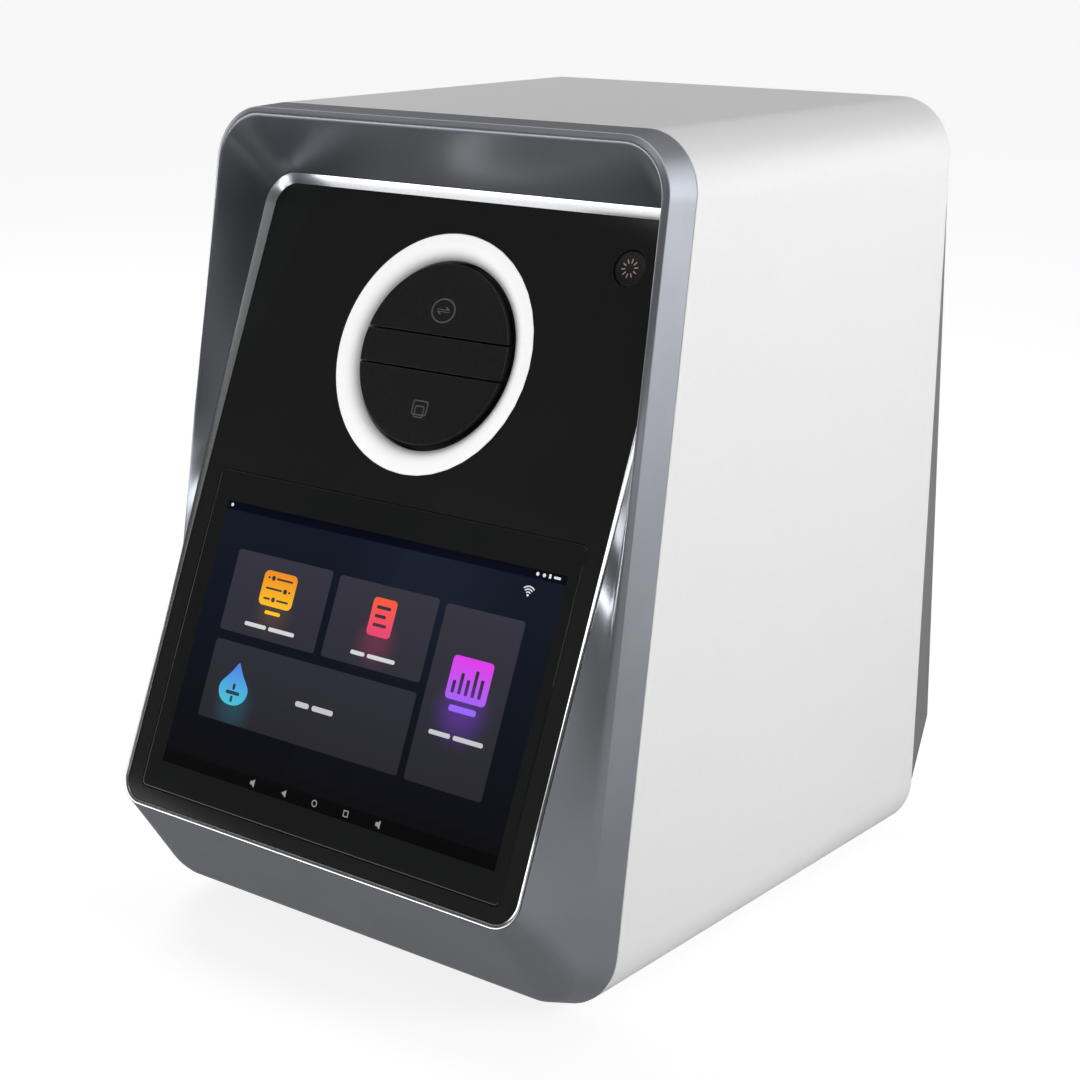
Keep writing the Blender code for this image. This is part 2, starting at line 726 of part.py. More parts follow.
# Datums: the case, the leaning panel, the ring's axis, the back face and the tray
front_most = on_panel(0, PANEL_LOW - TRIM_WIDTH_LOW - GAP, TRIM_RISE_LOW)[1]
rear_most = BACK_Y + BACK_SLOPE_SHARE * CHAMFER_TOP
ANALYZER = empty("analyzer", at=(0, -(front_most + rear_most) / 2, FOOT_HEIGHT - CASE_BOTTOM))
PANEL = empty("panel_face", ANALYZER, turn=(pi / 2 - LEAN, 0, 0))
RING = empty("ring_axis", PANEL, (0, RING_U, 0))
BACK = empty("rear_face", ANALYZER, (0, BACK_Y, 0), (pi / 2 + BACK_SLOPE_SHARE, 0, pi))
TRAY = empty("tray_slide", ANALYZER, (0, RING_Y, RING_Z))

WHITE_SHELL = look("white_shell", (0.86, 0.87, 0.88), 0.35)
GUNMETAL = look("gunmetal_bezel", (0.34, 0.35, 0.38), 0.3, 0.9)
BRIGHT_TRIM = look("bright_trim", (0.82, 0.83, 0.85), 0.15, 1)
BLACK_GLOSS = look("black_gloss", (0.012, 0.012, 0.012), 0.15)
SCREEN_GLASS = look("screen_glass", (0.01, 0.012, 0.02), 0.08)
RING_WHITE = look("ring_white", (0.95, 0.95, 0.95), 0.4)
KEY_BLACK = look("key_black", (0.015, 0.015, 0.015), 0.35)
GREY_COVER = look("grey_cover", (0.17, 0.175, 0.17), 0.55)
BLACK_PLASTIC = look("black_plastic", (0.03, 0.03, 0.032), 0.5)
BOARD_GREEN = look("board_green", (0.02, 0.12, 0.06), 0.5)
SHEET_STEEL = look("sheet_steel", (0.55, 0.56, 0.57), 0.4, 0.9)
ALUMINIUM = look("aluminium", (0.7, 0.71, 0.73), 0.35, 1)
POLISHED_STEEL = look("polished_steel", (0.6, 0.6, 0.61), 0.22, 1)
TRAY_GREY = look("tray_grey", (0.08, 0.08, 0.085), 0.45)
ACETAL_WHITE = look("acetal_white", (0.8, 0.79, 0.75), 0.5)
BRASS = look("brass", (0.72, 0.52, 0.22), 0.3, 1)
RUBBER = look("rubber", (0.02, 0.02, 0.02), 0.8)


def make_outer_shell():
    """The white case: a rounded tube between two leaning joint planes, with holes for the feet."""
    outer = case_outline()
    inner = case_outline(CASE_WALL)
    loops = [upright(outer, front_joint), upright(outer, rear_joint)]
    loops += [upright(inner, rear_joint), upright(inner, front_joint)]
    shell = part("outer_shell", loft(loops, ring=True), ANALYZER, WHITE_SHELL)
    holes = bmesh.new()
    for x, y in foot_places():
        low = (x, y, CASE_BOTTOM - OVERRUN)
        add_rod(holes, low, (x, y, BASE_BOTTOM), FOOT_SPIGOT_RADIUS + PIN_GAP)
    cut(shell, "foot_holes", holes)


def foot_places():
    """The middle of each foot."""
    return [(side * FOOT_X, y) for y in (FOOT_FRONT_Y, FOOT_REAR_Y) for side in (-1, 1)]


def crest_offset(z, nz):
    """How far the crest lies inside the crease and in front of it at a point of the crease."""
    inset = CREST_SIDE_INSET
    forward = CREST_SIDE_FORWARD
    fade_z = CASE_BOTTOM + (CASE_TOP - CASE_BOTTOM) * CREST_FADE_SHARE
    upper = max(0, (z - fade_z) / (CASE_TOP - CREASE_TOP_DROP - fade_z))
    lower = nz * nz if nz < 0 else 0
    inset += (CREST_TOP_INSET - inset) * upper + (CREST_BOTTOM_INSET - inset) * lower
    forward += (CREST_TOP_FORWARD - forward) * upper + (CREST_BOTTOM_FORWARD - forward) * lower
    return inset, forward


def make_front_bezel():
    """The frame round the panel: band, lip, hood that twists into the prow, seat, ledge and a tongue."""
    crease = rounded_outline(
        CASE_HALF_WIDTH - CREASE_INSET,
        CASE_BOTTOM + CREASE_BOTTOM_RISE,
        CASE_TOP - CREASE_TOP_DROP,
        CREASE_RADIUS,
        CREASE_RADIUS,
    )
    seat_edge = panel_loop(1, GAP)
    ledge_back = SEAT_DEPTH - LEDGE_THICKNESS
    crease_loop = []
    crest_loop = []
    behind_loop = []
    rooms = []
    for (x, z, nx, nz), seat in zip(crease, seat_edge):
        inset, forward = crest_offset(z, nz)
        crease_loop.append((x, CREASE_Y + CREASE_SLOPE_SHARE * z, z))
        y = CREASE_Y + CREASE_SLOPE_SHARE * (z - nz * inset) - forward
        crest_loop.append((x - nx * inset, y, z - nz * inset))
        inward = (x - seat[0]) * nx + (z - seat[2]) * nz - inset
        backward = seat[1] - y
        length = hypot(inward, backward)
        y += ((BEZEL_WALL - inset) * backward + BEZEL_WALL * length) / inward
        y = min(y, front_joint(z) + TONGUE_LENGTH / 2)
        behind_loop.append((x - nx * BEZEL_WALL, y, z - nz * BEZEL_WALL))
        room = BEZEL_WALL
        if backward < 0:
            room = min(room, (-ledge_back * inward - BEZEL_WALL * length) / -backward)
        rooms.append(room)
    tongue = case_outline(CASE_WALL + GAP)
    tongue_inner = case_outline(CASE_WALL + GAP + TONGUE_WALL)
    loops = [upright(case_outline(), front_joint, -GAP), crease_loop, crest_loop]
    loops += [blend(crest_loop, seat_edge, share) for share in BLEND_SHARES]
    loops += [seat_edge, panel_loop(1, GAP, SEAT_DEPTH), panel_loop(1, GAP - LEDGE_WIDTH, SEAT_DEPTH)]
    loops += [panel_loop(1, GAP - LEDGE_WIDTH, ledge_back), panel_loop(1, GAP, ledge_back, rooms)]
    loops += [behind_loop]
    loops += [upright(tongue_inner, front_joint, TONGUE_LENGTH), upright(tongue, front_joint, TONGUE_LENGTH)]
    loops += [upright(tongue, front_joint, -GAP)]
    part("front_bezel", loft(loops, ring=True), ANALYZER, GUNMETAL)


def make_trim_ring():
    """The bright strip round the panel, wider and prouder towards the top."""
    inner = panel_loop(0, 0, TRIM_INNER_RISE)
    outer = panel_loop(1, 0)
    base = -PANEL_THICKNESS
    loops = [inner, outer, panel_loop(1, 0, base), panel_loop(0, 0, base)]
    part("trim_ring", loft(loops, ring=True), ANALYZER, BRIGHT_TRIM)


def make_front_panel():
    """The black plate with its hidden flange, and holes for the ring, the display and the power button."""
    rim = -PANEL_RIM_WIDTH
    loops = [panel_loop(0, -GAP, 0), panel_loop(0, -GAP, FLANGE_FRONT), panel_loop(1, 0, FLANGE_FRONT)]
    loops += [panel_loop(1, 0, FLANGE_BACK), panel_loop(0, rim, FLANGE_BACK)]
    loops += [panel_loop(0, rim, -PANEL_THICKNESS)]
    panel = part("front_panel", loft(loops), ANALYZER, BLACK_GLOSS)
    holes = bmesh.new()
    low = -PANEL_THICKNESS - OVERRUN
    add_rod(holes, (0, RING_U, low), (0, RING_U, OVERRUN), RING_RADIUS + GAP, steps=ROUND_STEPS)
    button = (BUTTON_X, BUTTON_U)
    add_rod(holes, (*button, low), (*button, OVERRUN), BUTTON_RADIUS + BUTTON_GAP, steps=ROD_STEPS)
    half_height = (GLASS_HIGH - GLASS_LOW) / 2
    middle = (GLASS_HIGH + GLASS_LOW) / 2
    ledge = DISPLAY_LEDGE_WIDTH
    add_box(
        holes,
        (-GLASS_HALF_WIDTH + ledge, GLASS_LOW + ledge, low),
        (GLASS_HALF_WIDTH - ledge, GLASS_HIGH - ledge, -GLASS_THICKNESS),
    )
    cut(panel, "panel_holes", holes, parent=PANEL)
    opening = bmesh.new()
    outline = corner_points(GLASS_HALF_WIDTH + GAP, half_height + GAP, GLASS_CORNER_RADIUS)
    add_prism(opening, outline, -GLASS_SINK - GLASS_THICKNESS - GAP, OVERRUN)
    cut(panel, "glass_opening", opening, parent=PANEL, at=(0, middle, 0))


def make_display():
    """The touch glass in the panel's rebate and the display module behind it."""
    middle = (GLASS_HIGH + GLASS_LOW) / 2
    glass = bmesh.new()
    outline = corner_points(GLASS_HALF_WIDTH, (GLASS_HIGH - GLASS_LOW) / 2, GLASS_CORNER_RADIUS)
    add_prism(glass, outline, -GLASS_SINK - GLASS_THICKNESS, -GLASS_SINK)
    part("display_glass", glass, PANEL, SCREEN_GLASS, (0, middle, 0))
    front = -GLASS_SINK - GLASS_THICKNESS - GAP
    half_width = GLASS_HALF_WIDTH - DISPLAY_MARGIN
    half_height = (GLASS_HIGH - GLASS_LOW) / 2 - DISPLAY_MARGIN
    low = (-half_width, -half_height, front - DISPLAY_THICKNESS)
    module = box(low, (half_width, half_height, front))
    part("display_module", module, PANEL, SHEET_STEEL, (0, middle, 0))


def make_light_ring():
    """The dished white ring with a channel behind it, and the board of lamps that shines into the channel."""
    slope = RING_DISH / (RING_RADIUS - RING_INNER_RADIUS)
    lip = RING_LIP_RADIUS
    profile = [
        (RING_RADIUS, 0),
        (RING_RADIUS, -PANEL_THICKNESS - GAP),
        (RING_FLANGE_RADIUS, -PANEL_THICKNESS - GAP),
        (RING_FLANGE_RADIUS, -RING_SKIRT_DEPTH),
        (RING_CHANNEL_OUTER, -RING_SKIRT_DEPTH),
        (RING_CHANNEL_OUTER, -RING_CHANNEL_DEPTH),
        (RING_CHANNEL_INNER, -RING_CHANNEL_DEPTH),
        (RING_CHANNEL_INNER, -RING_SKIRT_DEPTH),
        (RING_INNER_RADIUS, -RING_SKIRT_DEPTH),
        (RING_INNER_RADIUS, -RING_DISH - lip),
        (RING_INNER_RADIUS + lip * ROUND_SHARE, -RING_DISH - lip * ROUND_SHARE),
        (RING_INNER_RADIUS + lip, -RING_DISH + lip * slope),
    ]
    turned("light_ring", profile, RING, RING_WHITE, closed=True, steps=ROUND_STEPS)
    inner = RING_CHANNEL_INNER
    profile = [
        (RING_CHANNEL_OUTER, LED_BOARD_FRONT),
        (RING_CHANNEL_OUTER, LED_BOARD_FRONT - LED_BOARD_THICKNESS),
        (inner, LED_BOARD_FRONT - LED_BOARD_THICKNESS),
        (inner, LED_BOARD_FRONT),
    ]
    board = turned("led_board", profile, RING, BOARD_GREEN, closed=True)
    lamps = bmesh.new()
    middle = (inner + RING_CHANNEL_OUTER) / 2
    low = LED_BOARD_FRONT - LED_BOARD_THICKNESS / 2
    for index in range(LED_COUNT):
        angle = 2 * pi * index / LED_COUNT
        x = middle * cos(angle)
        u = middle * sin(angle)
        half = LED_SIZE / 2
        add_box(lamps, (x - half, u - half, low), (x + half, u + half, LED_BOARD_FRONT + LED_HEIGHT))
    fuse(board, "lamps", lamps)


def tray_slot():
    """The straight way of the tray through the carrier and its board, about the middle of the ring."""
    low = (-SLOT_HALF_WIDTH, -RING_FLANGE_RADIUS, -TRAY_BELOW - SLOT_CLEARANCE)
    return box(low, (SLOT_HALF_WIDTH, RING_FLANGE_RADIUS, TRAY_ABOVE + SLOT_CLEARANCE))


def key_pin_places(side):
    """The middles of a key's two guide pins: side is 1 for the upper key and -1 for the lower one."""
    return [(across * KEY_PIN_X, side * KEY_PIN_U) for across in (-1, 1)]


def carrier_post_places():
    """The middles of the posts that hold the key board."""
    return [(x * CARRIER_POST_X, u * CARRIER_POST_X) for x in (-1, 1) for u in (-1, 1)]


def make_key_carrier():
    """The hub behind the key pad, with guide holes, posts for the key board and the tray's slot."""
    profile = [
        (0, -CARRIER_FRONT_DEPTH),
        (CARRIER_RADIUS, -CARRIER_FRONT_DEPTH),
        (CARRIER_RADIUS, CARRIER_FLANGE_FRONT),
        (CARRIER_FLANGE_RADIUS, CARRIER_FLANGE_FRONT),
        (CARRIER_FLANGE_RADIUS, CARRIER_BACK),
        (0, CARRIER_BACK),
    ]
    carrier = turned("key_carrier", profile, RING, BLACK_PLASTIC)
    posts = bmesh.new()
    for x, u in carrier_post_places():
        add_rod(posts, (x, u, CARRIER_FLANGE_FRONT - GAP), (x, u, KEY_BOARD_FRONT + GAP), CARRIER_POST_RADIUS)
    fuse(carrier, "carrier_posts", posts)
    holes = bmesh.new()
    for x, u in key_pin_places(1) + key_pin_places(-1):
        low = (x, u, CARRIER_BACK - OVERRUN)
        add_rod(holes, low, (x, u, OVERRUN - CARRIER_FRONT_DEPTH), KEY_PIN_RADIUS + PIN_GAP)
    cut(carrier, "guide_holes", holes)
    cut(carrier, "carrier_slot", tray_slot(), parent=TRAY)


def make_key_board():
    """The board behind the carrier, with a dome switch under each guide pin."""
    shape = rod((0, 0, KEY_BOARD_BACK), (0, 0, KEY_BOARD_FRONT), KEY_BOARD_RADIUS, TURNED_STEPS)
    board = part("key_board", shape, RING, BOARD_GREEN)
    domes = bmesh.new()
    top = -PAD_SINK - KEY_THICKNESS - KEY_PIN_LENGTH - KEY_TRAVEL - GAP
    for x, u in key_pin_places(1) + key_pin_places(-1):
        low = (x, u, KEY_BOARD_FRONT - KEY_BOARD_THICKNESS / 2)
        add_rod(domes, low, (x, u, top), DOME_RADIUS, DOME_RADIUS - DOME_TAPER)
    fuse(board, "domes", domes)
    cut(board, "board_slot", tray_slot(), parent=TRAY)


def make_keys():
    """The two touch keys: parts of the round pad that end in level edges at the tray's front."""
    edge = BAND_HALF_HEIGHT + GROOVE_WIDTH
    far = PAD_RADIUS + OVERRUN
    for name, side in (("upper_key", 1), ("lower_key", -1)):
        back = -PAD_SINK - KEY_THICKNESS
        shape = rod((0, 0, back), (0, 0, -PAD_SINK), PAD_RADIUS, ROUND_STEPS)
        key = part(name, shape, RING, KEY_BLACK)
        pins = bmesh.new()
        for x, u in key_pin_places(side):
            add_rod(pins, (x, u, back - KEY_PIN_LENGTH), (x, u, back + KEY_THICKNESS / 2), KEY_PIN_RADIUS)
        fuse(key, name + "_pins", pins)
        low, high = sorted((-side * far, side * edge))
        cut(key, name + "_edge", box((-far, -far, low), (far, far, high)), parent=TRAY)


def make_tray():
    """The moving tray: its front in the key pad, the bed with its side tongues, and the nut under it."""
    lean = (pi / 2 - LEAN, 0, 0)
    back = -PAD_SINK - TRAY_FACE_THICKNESS
    disc = rod((0, 0, back), (0, 0, -PAD_SINK), PAD_RADIUS, ROUND_STEPS)
    face = part("tray_front", disc, TRAY, KEY_BLACK, turn=lean)
    far = PAD_RADIUS + OVERRUN
    for name, side in (("band_top", 1), ("band_bottom", -1)):
        low, high = sorted((side * BAND_HALF_HEIGHT, side * far))
        cut(face, name, box((-far, -far, low), (far, far, high)), parent=TRAY)
    low = (-FACE_TONGUE_HALF_WIDTH, TRAY_FACE_THICKNESS * TONGUE_SINK_SHARE, -TRAY_BELOW)
    fuse(face, "face_tongue", box(low, (FACE_TONGUE_HALF_WIDTH, FACE_TONGUE_REACH, TRAY_ABOVE)), parent=TRAY)

    start = TRAY_FRONT - RING_Y
    end = TRAY_REAR - RING_Y
    shape = box((-TRAY_HALF_WIDTH, start, -TRAY_BELOW), (TRAY_HALF_WIDTH, end, TRAY_ABOVE))
    bed = part("cartridge_tray", shape, TRAY, TRAY_GREY)
    reach = TRAY_HALF_WIDTH + SIDE_TONGUE_WIDTH
    low_z = -TRAY_BELOW + SIDE_TONGUE_RISE
    high = (reach, end - GAP, low_z + SIDE_TONGUE_THICKNESS)
    tongues = box((-reach, start + SIDE_TONGUE_START, low_z), high)
    fuse(bed, "side_tongues", tongues)
    near = start + RECESS_START
    low = (-RECESS_HALF_WIDTH, near, TRAY_ABOVE - RECESS_DEPTH)
    recess = box(low, (RECESS_HALF_WIDTH, near + RECESS_LENGTH, TRAY_ABOVE + OVERRUN))
    cut(bed, "cartridge_recess", recess)
    middle = OPTICS_Y - RING_Y
    low = (-WINDOW_HALF_WIDTH, middle - WINDOW_HALF_LENGTH, -TRAY_BELOW - OVERRUN)
    cut(bed, "light_window", box(low, (WINDOW_HALF_WIDTH, middle + WINDOW_HALF_LENGTH, TRAY_ABOVE)))

    nut_y = TRAY_REAR - NUT_FROM_END - RING_Y
    drop = -TRAY_BELOW - GAP
    axis_z = SCREW_Z - RING_Z
    low = (SCREW_X - NUT_HALF_WIDTH, nut_y - NUT_HALF_LENGTH, 2 * axis_z - drop)
    high = (SCREW_X + NUT_HALF_WIDTH, nut_y + NUT_HALF_LENGTH, drop)
    nut = part("tray_nut", box(low, high), TRAY, ACETAL_WHITE)
    soften(nut, NUT_EDGE)
    reach = NUT_HALF_LENGTH + OVERRUN
    bore = rod((SCREW_X, nut_y - reach, axis_z), (SCREW_X, nut_y + reach, axis_z), SCREW_RADIUS + PIN_GAP)
    cut(nut, "nut_bore", bore)


def make_rails():
    """Two grooved rails on the deck that hold the tray's side tongues."""
    groove_low = TRAY_BOTTOM + SIDE_TONGUE_RISE - GAP
    groove_high = groove_low + SIDE_TONGUE_THICKNESS + 2 * GAP
    inner = TRAY_HALF_WIDTH + SLIDE_GAP
    groove = TRAY_HALF_WIDTH + SIDE_TONGUE_WIDTH + SLIDE_GAP
    outer = groove + RAIL_WEB
    section = [
        (inner, DECK_TOP + GAP),
        (outer, DECK_TOP + GAP),
        (outer, TRAY_TOP),
        (inner, TRAY_TOP),
        (inner, groove_high),
        (groove, groove_high),
        (groove, groove_low),
        (inner, groove_low),
    ]
    for name, side in (("tray_rail_left", -1), ("tray_rail_right", 1)):
        shape = bmesh.new()
        add_prism(shape, [(side * x, z) for x, z in section], 0, RAIL_END - RAIL_START, "Y")
        part(name, shape, ANALYZER, ACETAL_WHITE, (0, RAIL_START, 0))


def make_drive():
    """The lead screw, its front bearing, the motor that turns it and the motor's bracket."""
    axis = (SCREW_X, MOTOR_FRONT, SCREW_Z)
    drive = empty("screw_axis", ANALYZER, axis)
    front = BEARING_FRONT - MOTOR_FRONT
    screw = rod((0, front, 0), (0, SCREW_IN_MOTOR, 0), SCREW_RADIUS)
    part("lead_screw", screw, drive, POLISHED_STEEL)

    base = DECK_TOP + GAP - SCREW_Z
    low = (-BEARING_HALF_WIDTH, front, base)
    top = TRAY_BOTTOM - BEARING_DROP - SCREW_Z
    bearing = part("screw_bearing", box(low, (BEARING_HALF_WIDTH, front + BEARING_LENGTH, top)), drive, BRASS)
    bore = rod((0, front - OVERRUN, 0), (0, front + BEARING_LENGTH + OVERRUN, 0), SCREW_RADIUS + PIN_GAP)
    cut(bearing, "bearing_bore", bore)

    half = MOTOR_SIZE / 2
    motor = part("stepper_motor", box((-half, 0, -half), (half, MOTOR_LENGTH, half)), drive, ALUMINIUM)
    soften(motor, MOTOR_EDGE, 1)
    fuse(motor, "motor_boss", rod((0, -MOTOR_BOSS_HEIGHT, 0), (0, MOTOR_BOSS_HEIGHT, 0), MOTOR_BOSS_RADIUS))
    end = SCREW_IN_MOTOR + GAP
    cut(motor, "motor_bore", rod((0, -MOTOR_BOSS_HEIGHT - OVERRUN, 0), (0, end, 0), SCREW_RADIUS + PIN_GAP))

    plate_rear = -GAP
    plate_front = plate_rear - BRACKET_PLATE
    section = [
        (plate_rear, base),
        (plate_rear, base + BRACKET_HEIGHT),
        (plate_front, base + BRACKET_HEIGHT),
        (plate_front, base + BRACKET_PLATE),
        (plate_front - BRACKET_FOOT, base + BRACKET_PLATE),
        (plate_front - BRACKET_FOOT, base),
    ]
    shape = bmesh.new()
    add_prism(shape, section, -BRACKET_HALF_WIDTH, BRACKET_HALF_WIDTH, "X")
    bracket = part("motor_bracket", shape, drive, SHEET_STEEL)
    hole = rod((0, plate_front - OVERRUN, 0), (0, OVERRUN, 0), MOTOR_BOSS_RADIUS + GAP)
    cut(bracket, "boss_hole", hole)


def post_places():
    """The middles of the posts under the deck."""
    return [(side * POST_X, y) for y in (DECK_FRONT + POST_INSET, DECK_REAR - POST_INSET) for side in (-1, 1)]


def make_deck():
    """The shelf that carries the tray's drive and the microscope, on four posts."""
    deck = box((-DECK_HALF_WIDTH, DECK_FRONT, DECK_BOTTOM), (DECK_HALF_WIDTH, DECK_REAR, DECK_TOP))
    part("mechanism_deck", deck, ANALYZER, SHEET_STEEL)
    for number, (x, y) in enumerate(post_places(), 1):
        shape = rod((0, 0, 0), (0, 0, DECK_BOTTOM - BASE_TOP - 2 * GAP), POST_RADIUS)
        part("deck_post_%d" % number, shape, ANALYZER, ALUMINIUM, (x, y, BASE_TOP + GAP))


def board_corners():
    """The middles of the standoffs under the main board."""
    xs = (BOARD_LEFT + BOARD_INSET, BOARD_RIGHT - BOARD_INSET)
    return [(x, y) for x in xs for y in (BOARD_FRONT + BOARD_INSET, BOARD_REAR - BOARD_INSET)]


def make_base_plate():
    """The steel floor plate with turned-up sides, standoffs for the main board and holes for the feet."""
    half = BASE_HALF_WIDTH
    sheet = BASE_THICKNESS
    flange = BASE_BOTTOM + BASE_FLANGE_HEIGHT
    section = [(-half, BASE_BOTTOM), (half, BASE_BOTTOM), (half, flange), (half - sheet, flange)]
    section += [(half - sheet, BASE_TOP), (sheet - half, BASE_TOP), (sheet - half, flange), (-half, flange)]
    shape = bmesh.new()
    add_prism(shape, section, BASE_FRONT, BASE_REAR, "Y")
    plate = part("base_plate", shape, ANALYZER, SHEET_STEEL)
    standoffs = bmesh.new()
    for x, y in board_corners():
        top = (x, y, BASE_TOP + STANDOFF_HEIGHT)
        add_rod(standoffs, (x, y, BASE_TOP - BASE_THICKNESS / 2), top, STANDOFF_RADIUS)
    fuse(plate, "standoffs", standoffs)
    holes = bmesh.new()
    for x, y in foot_places():
        low = (x, y, BASE_BOTTOM - OVERRUN)
        add_rod(holes, low, (x, y, BASE_TOP + OVERRUN), FOOT_SPIGOT_RADIUS + PIN_GAP)
    cut(plate, "base_foot_holes", holes)


def make_feet():
    """Four rubber feet with spigots through the shell and the base plate."""
    top = FOOT_HEIGHT - GAP
    spigot = BASE_TOP + GAP - (CASE_BOTTOM - FOOT_HEIGHT)
    low = FOOT_RADIUS - FOOT_TAPER
    profile = [
        (0, spigot),
        (FOOT_SPIGOT_RADIUS, spigot),
        (FOOT_SPIGOT_RADIUS, top),
        (FOOT_RADIUS, top),
        (FOOT_RADIUS, top / 2),
        (low, 0),
        (0, 0),
    ]
    for number, (x, y) in enumerate(foot_places(), 1):
        place = (x, y, CASE_BOTTOM - FOOT_HEIGHT)
        turned("foot_%d" % number, profile, ANALYZER, RUBBER, place)


def make_mainboard():
    """The main board with a finned heat sink, chips, a header and a capacitor."""
    half_length = (BOARD_REAR - BOARD_FRONT) / 2
    half_width = (BOARD_RIGHT - BOARD_LEFT) / 2
    board = part(
        "mainboard",
        box((-half_width, -half_length, 0), (half_width, half_length, BOARD_THICKNESS)),
        ANALYZER,
        BOARD_GREEN,
        (BOARD_LEFT + half_width, BOARD_FRONT + half_length, BASE_TOP + STANDOFF_HEIGHT + GAP),
    )
    seat = BOARD_THICKNESS / 2
    top = BOARD_THICKNESS
    pieces = bmesh.new()
    sink = SINK_SIZE / 2
    add_box(pieces, (-sink, -sink, seat), (sink, sink, top + SINK_BASE))
    chip = CHIP_SIZE / 2
    for x_share, y_share in ((-0.6, 0.3), (-0.6, -0.3), (0.6, 0.45)):
        x = x_share * half_width
        y = y_share * half_length
        add_box(pieces, (x - chip, y - chip, seat), (x + chip, y + chip, top + CHIP_HEIGHT))
    edge = half_length - BOARD_INSET
    x = -half_width / 2
    high = (x + HEADER_LENGTH / 2, HEADER_WIDTH - edge, top + HEADER_HEIGHT)
    add_box(pieces, (x - HEADER_LENGTH / 2, -edge, seat), high)
    for index in range(CAN_COUNT):
        x = half_width * CAN_START_SHARE - index * CAN_PITCH
        add_rod(pieces, (x, -edge / 2, seat), (x, -edge / 2, top + CAN_HEIGHT), CAN_RADIUS)
    fuse(board, "board_pieces", pieces)
    fins = bmesh.new()
    for index in range(FIN_COUNT):
        x = -sink + (SINK_SIZE - FIN_THICKNESS) * index / (FIN_COUNT - 1)
        low = (x, -sink, top + SINK_BASE / 2)
        add_box(fins, low, (x + FIN_THICKNESS, sink, top + SINK_BASE + FIN_HEIGHT))
    fuse(board, "fins", fins)


def make_power_supply():
    """The boxed power supply with cooling slots across its top."""
    half = SUPPLY_HALF_WIDTH
    length = BOARD_REAR - SUPPLY_FRONT
    place = (SUPPLY_X, SUPPLY_FRONT, BASE_TOP + GAP)
    shape = box((-half, 0, 0), (half, length, SUPPLY_HEIGHT))
    supply = part("power_supply", shape, ANALYZER, SHEET_STEEL, place)
    soften(supply, SUPPLY_EDGE, 1)
    slots = bmesh.new()
    pitch = length / (SUPPLY_SLOT_COUNT + 1)
    reach = half - SUPPLY_SLOT_WIDTH
    for index in range(1, SUPPLY_SLOT_COUNT + 1):
        y = pitch * index - SUPPLY_SLOT_WIDTH / 2
        low = (-reach, y, SUPPLY_HEIGHT - SUPPLY_SLOT_DEPTH)
        add_box(slots, low, (reach, y + SUPPLY_SLOT_WIDTH, SUPPLY_HEIGHT + OVERRUN))
    cut(supply, "supply_slots", slots)


def make_microscope():
    """The bridge over the tray with the objective, the camera above it and the lamp below the tray."""
    stand = empty("optical_axis", ANALYZER, (0, OPTICS_Y, DECK_TOP + GAP))
    leg = OPTICS_LEG_X
    outer = leg + OPTICS_SHEET
    toe = outer + OPTICS_TOE
    rise = OPTICS_TOE_THICKNESS
    right = [(leg, 0), (toe, 0), (toe, rise), (outer, rise), (outer, OPTICS_HEIGHT)]
    section = right + [(-x, z) for x, z in reversed(right)]
    under = OPTICS_HEIGHT - OPTICS_SHEET
    section += [(-leg, under), (leg, under)]
    shape = bmesh.new()
    add_prism(shape, section, -OPTICS_HALF_LENGTH, OPTICS_HALF_LENGTH, "Y")
    bridge = part("optics_bracket", shape, stand, ALUMINIUM)
    hole = rod((0, 0, under - OVERRUN), (0, 0, OPTICS_HEIGHT + OVERRUN), LENS_NECK_RADIUS + PIN_GAP)
    cut(bridge, "lens_hole", hole)

    shoulder = under - GAP
    low = shoulder - LENS_BARREL_LENGTH
    profile = [
        (0, OPTICS_HEIGHT),
        (LENS_NECK_RADIUS, OPTICS_HEIGHT),
        (LENS_NECK_RADIUS, shoulder),
        (LENS_BARREL_RADIUS, shoulder),
        (LENS_BARREL_RADIUS, low),
        (LENS_TIP_RADIUS, low - LENS_CONE_LENGTH),
        (0, low - LENS_CONE_LENGTH),
    ]
    turned("objective", profile, stand, BLACK_PLASTIC)

    seat = OPTICS_HEIGHT + GAP
    low = (-CAMERA_HALF_WIDTH, -CAMERA_HALF_LENGTH, 0)
    body = box(low, (CAMERA_HALF_WIDTH, CAMERA_HALF_LENGTH, CAMERA_HEIGHT))
    camera = part("camera_module", body, stand, BLACK_PLASTIC, (0, 0, seat))
    soften(camera, CAMERA_EDGE, 1)
    plug = CAMERA_PLUG_SIZE / 2
    rear = CAMERA_HALF_LENGTH
    low = (-plug, rear - plug, CAMERA_HEIGHT / 2 - plug)
    fuse(camera, "camera_plug", box(low, (plug, rear + plug, CAMERA_HEIGHT / 2 + plug)))

    profile = [
        (0, LAMP_HEIGHT + LAMP_LENS_HEIGHT / 2),
        (LAMP_LENS_RADIUS / 2, LAMP_HEIGHT + LAMP_LENS_HEIGHT / 2 - GAP),
        (LAMP_LENS_RADIUS, LAMP_HEIGHT - LAMP_LENS_HEIGHT),
        (LAMP_RADIUS, LAMP_HEIGHT - LAMP_LENS_HEIGHT),
        (LAMP_RADIUS, 0),
        (0, 0),
    ]
    turned("illuminator", profile, stand, BLACK_PLASTIC)


def back_depth(z):
    """The rear cover's outside: a leaning back, a chamfer under it and a thin rim at the bottom."""
    back = BACK_Y + BACK_SLOPE_SHARE * z
    chamfer = rear_most - CHAMFER_SLOPE_SHARE * (CHAMFER_TOP - z)
    return max(min(back, chamfer), rear_joint(z) + GAP + COVER_LEAST_DEPTH)


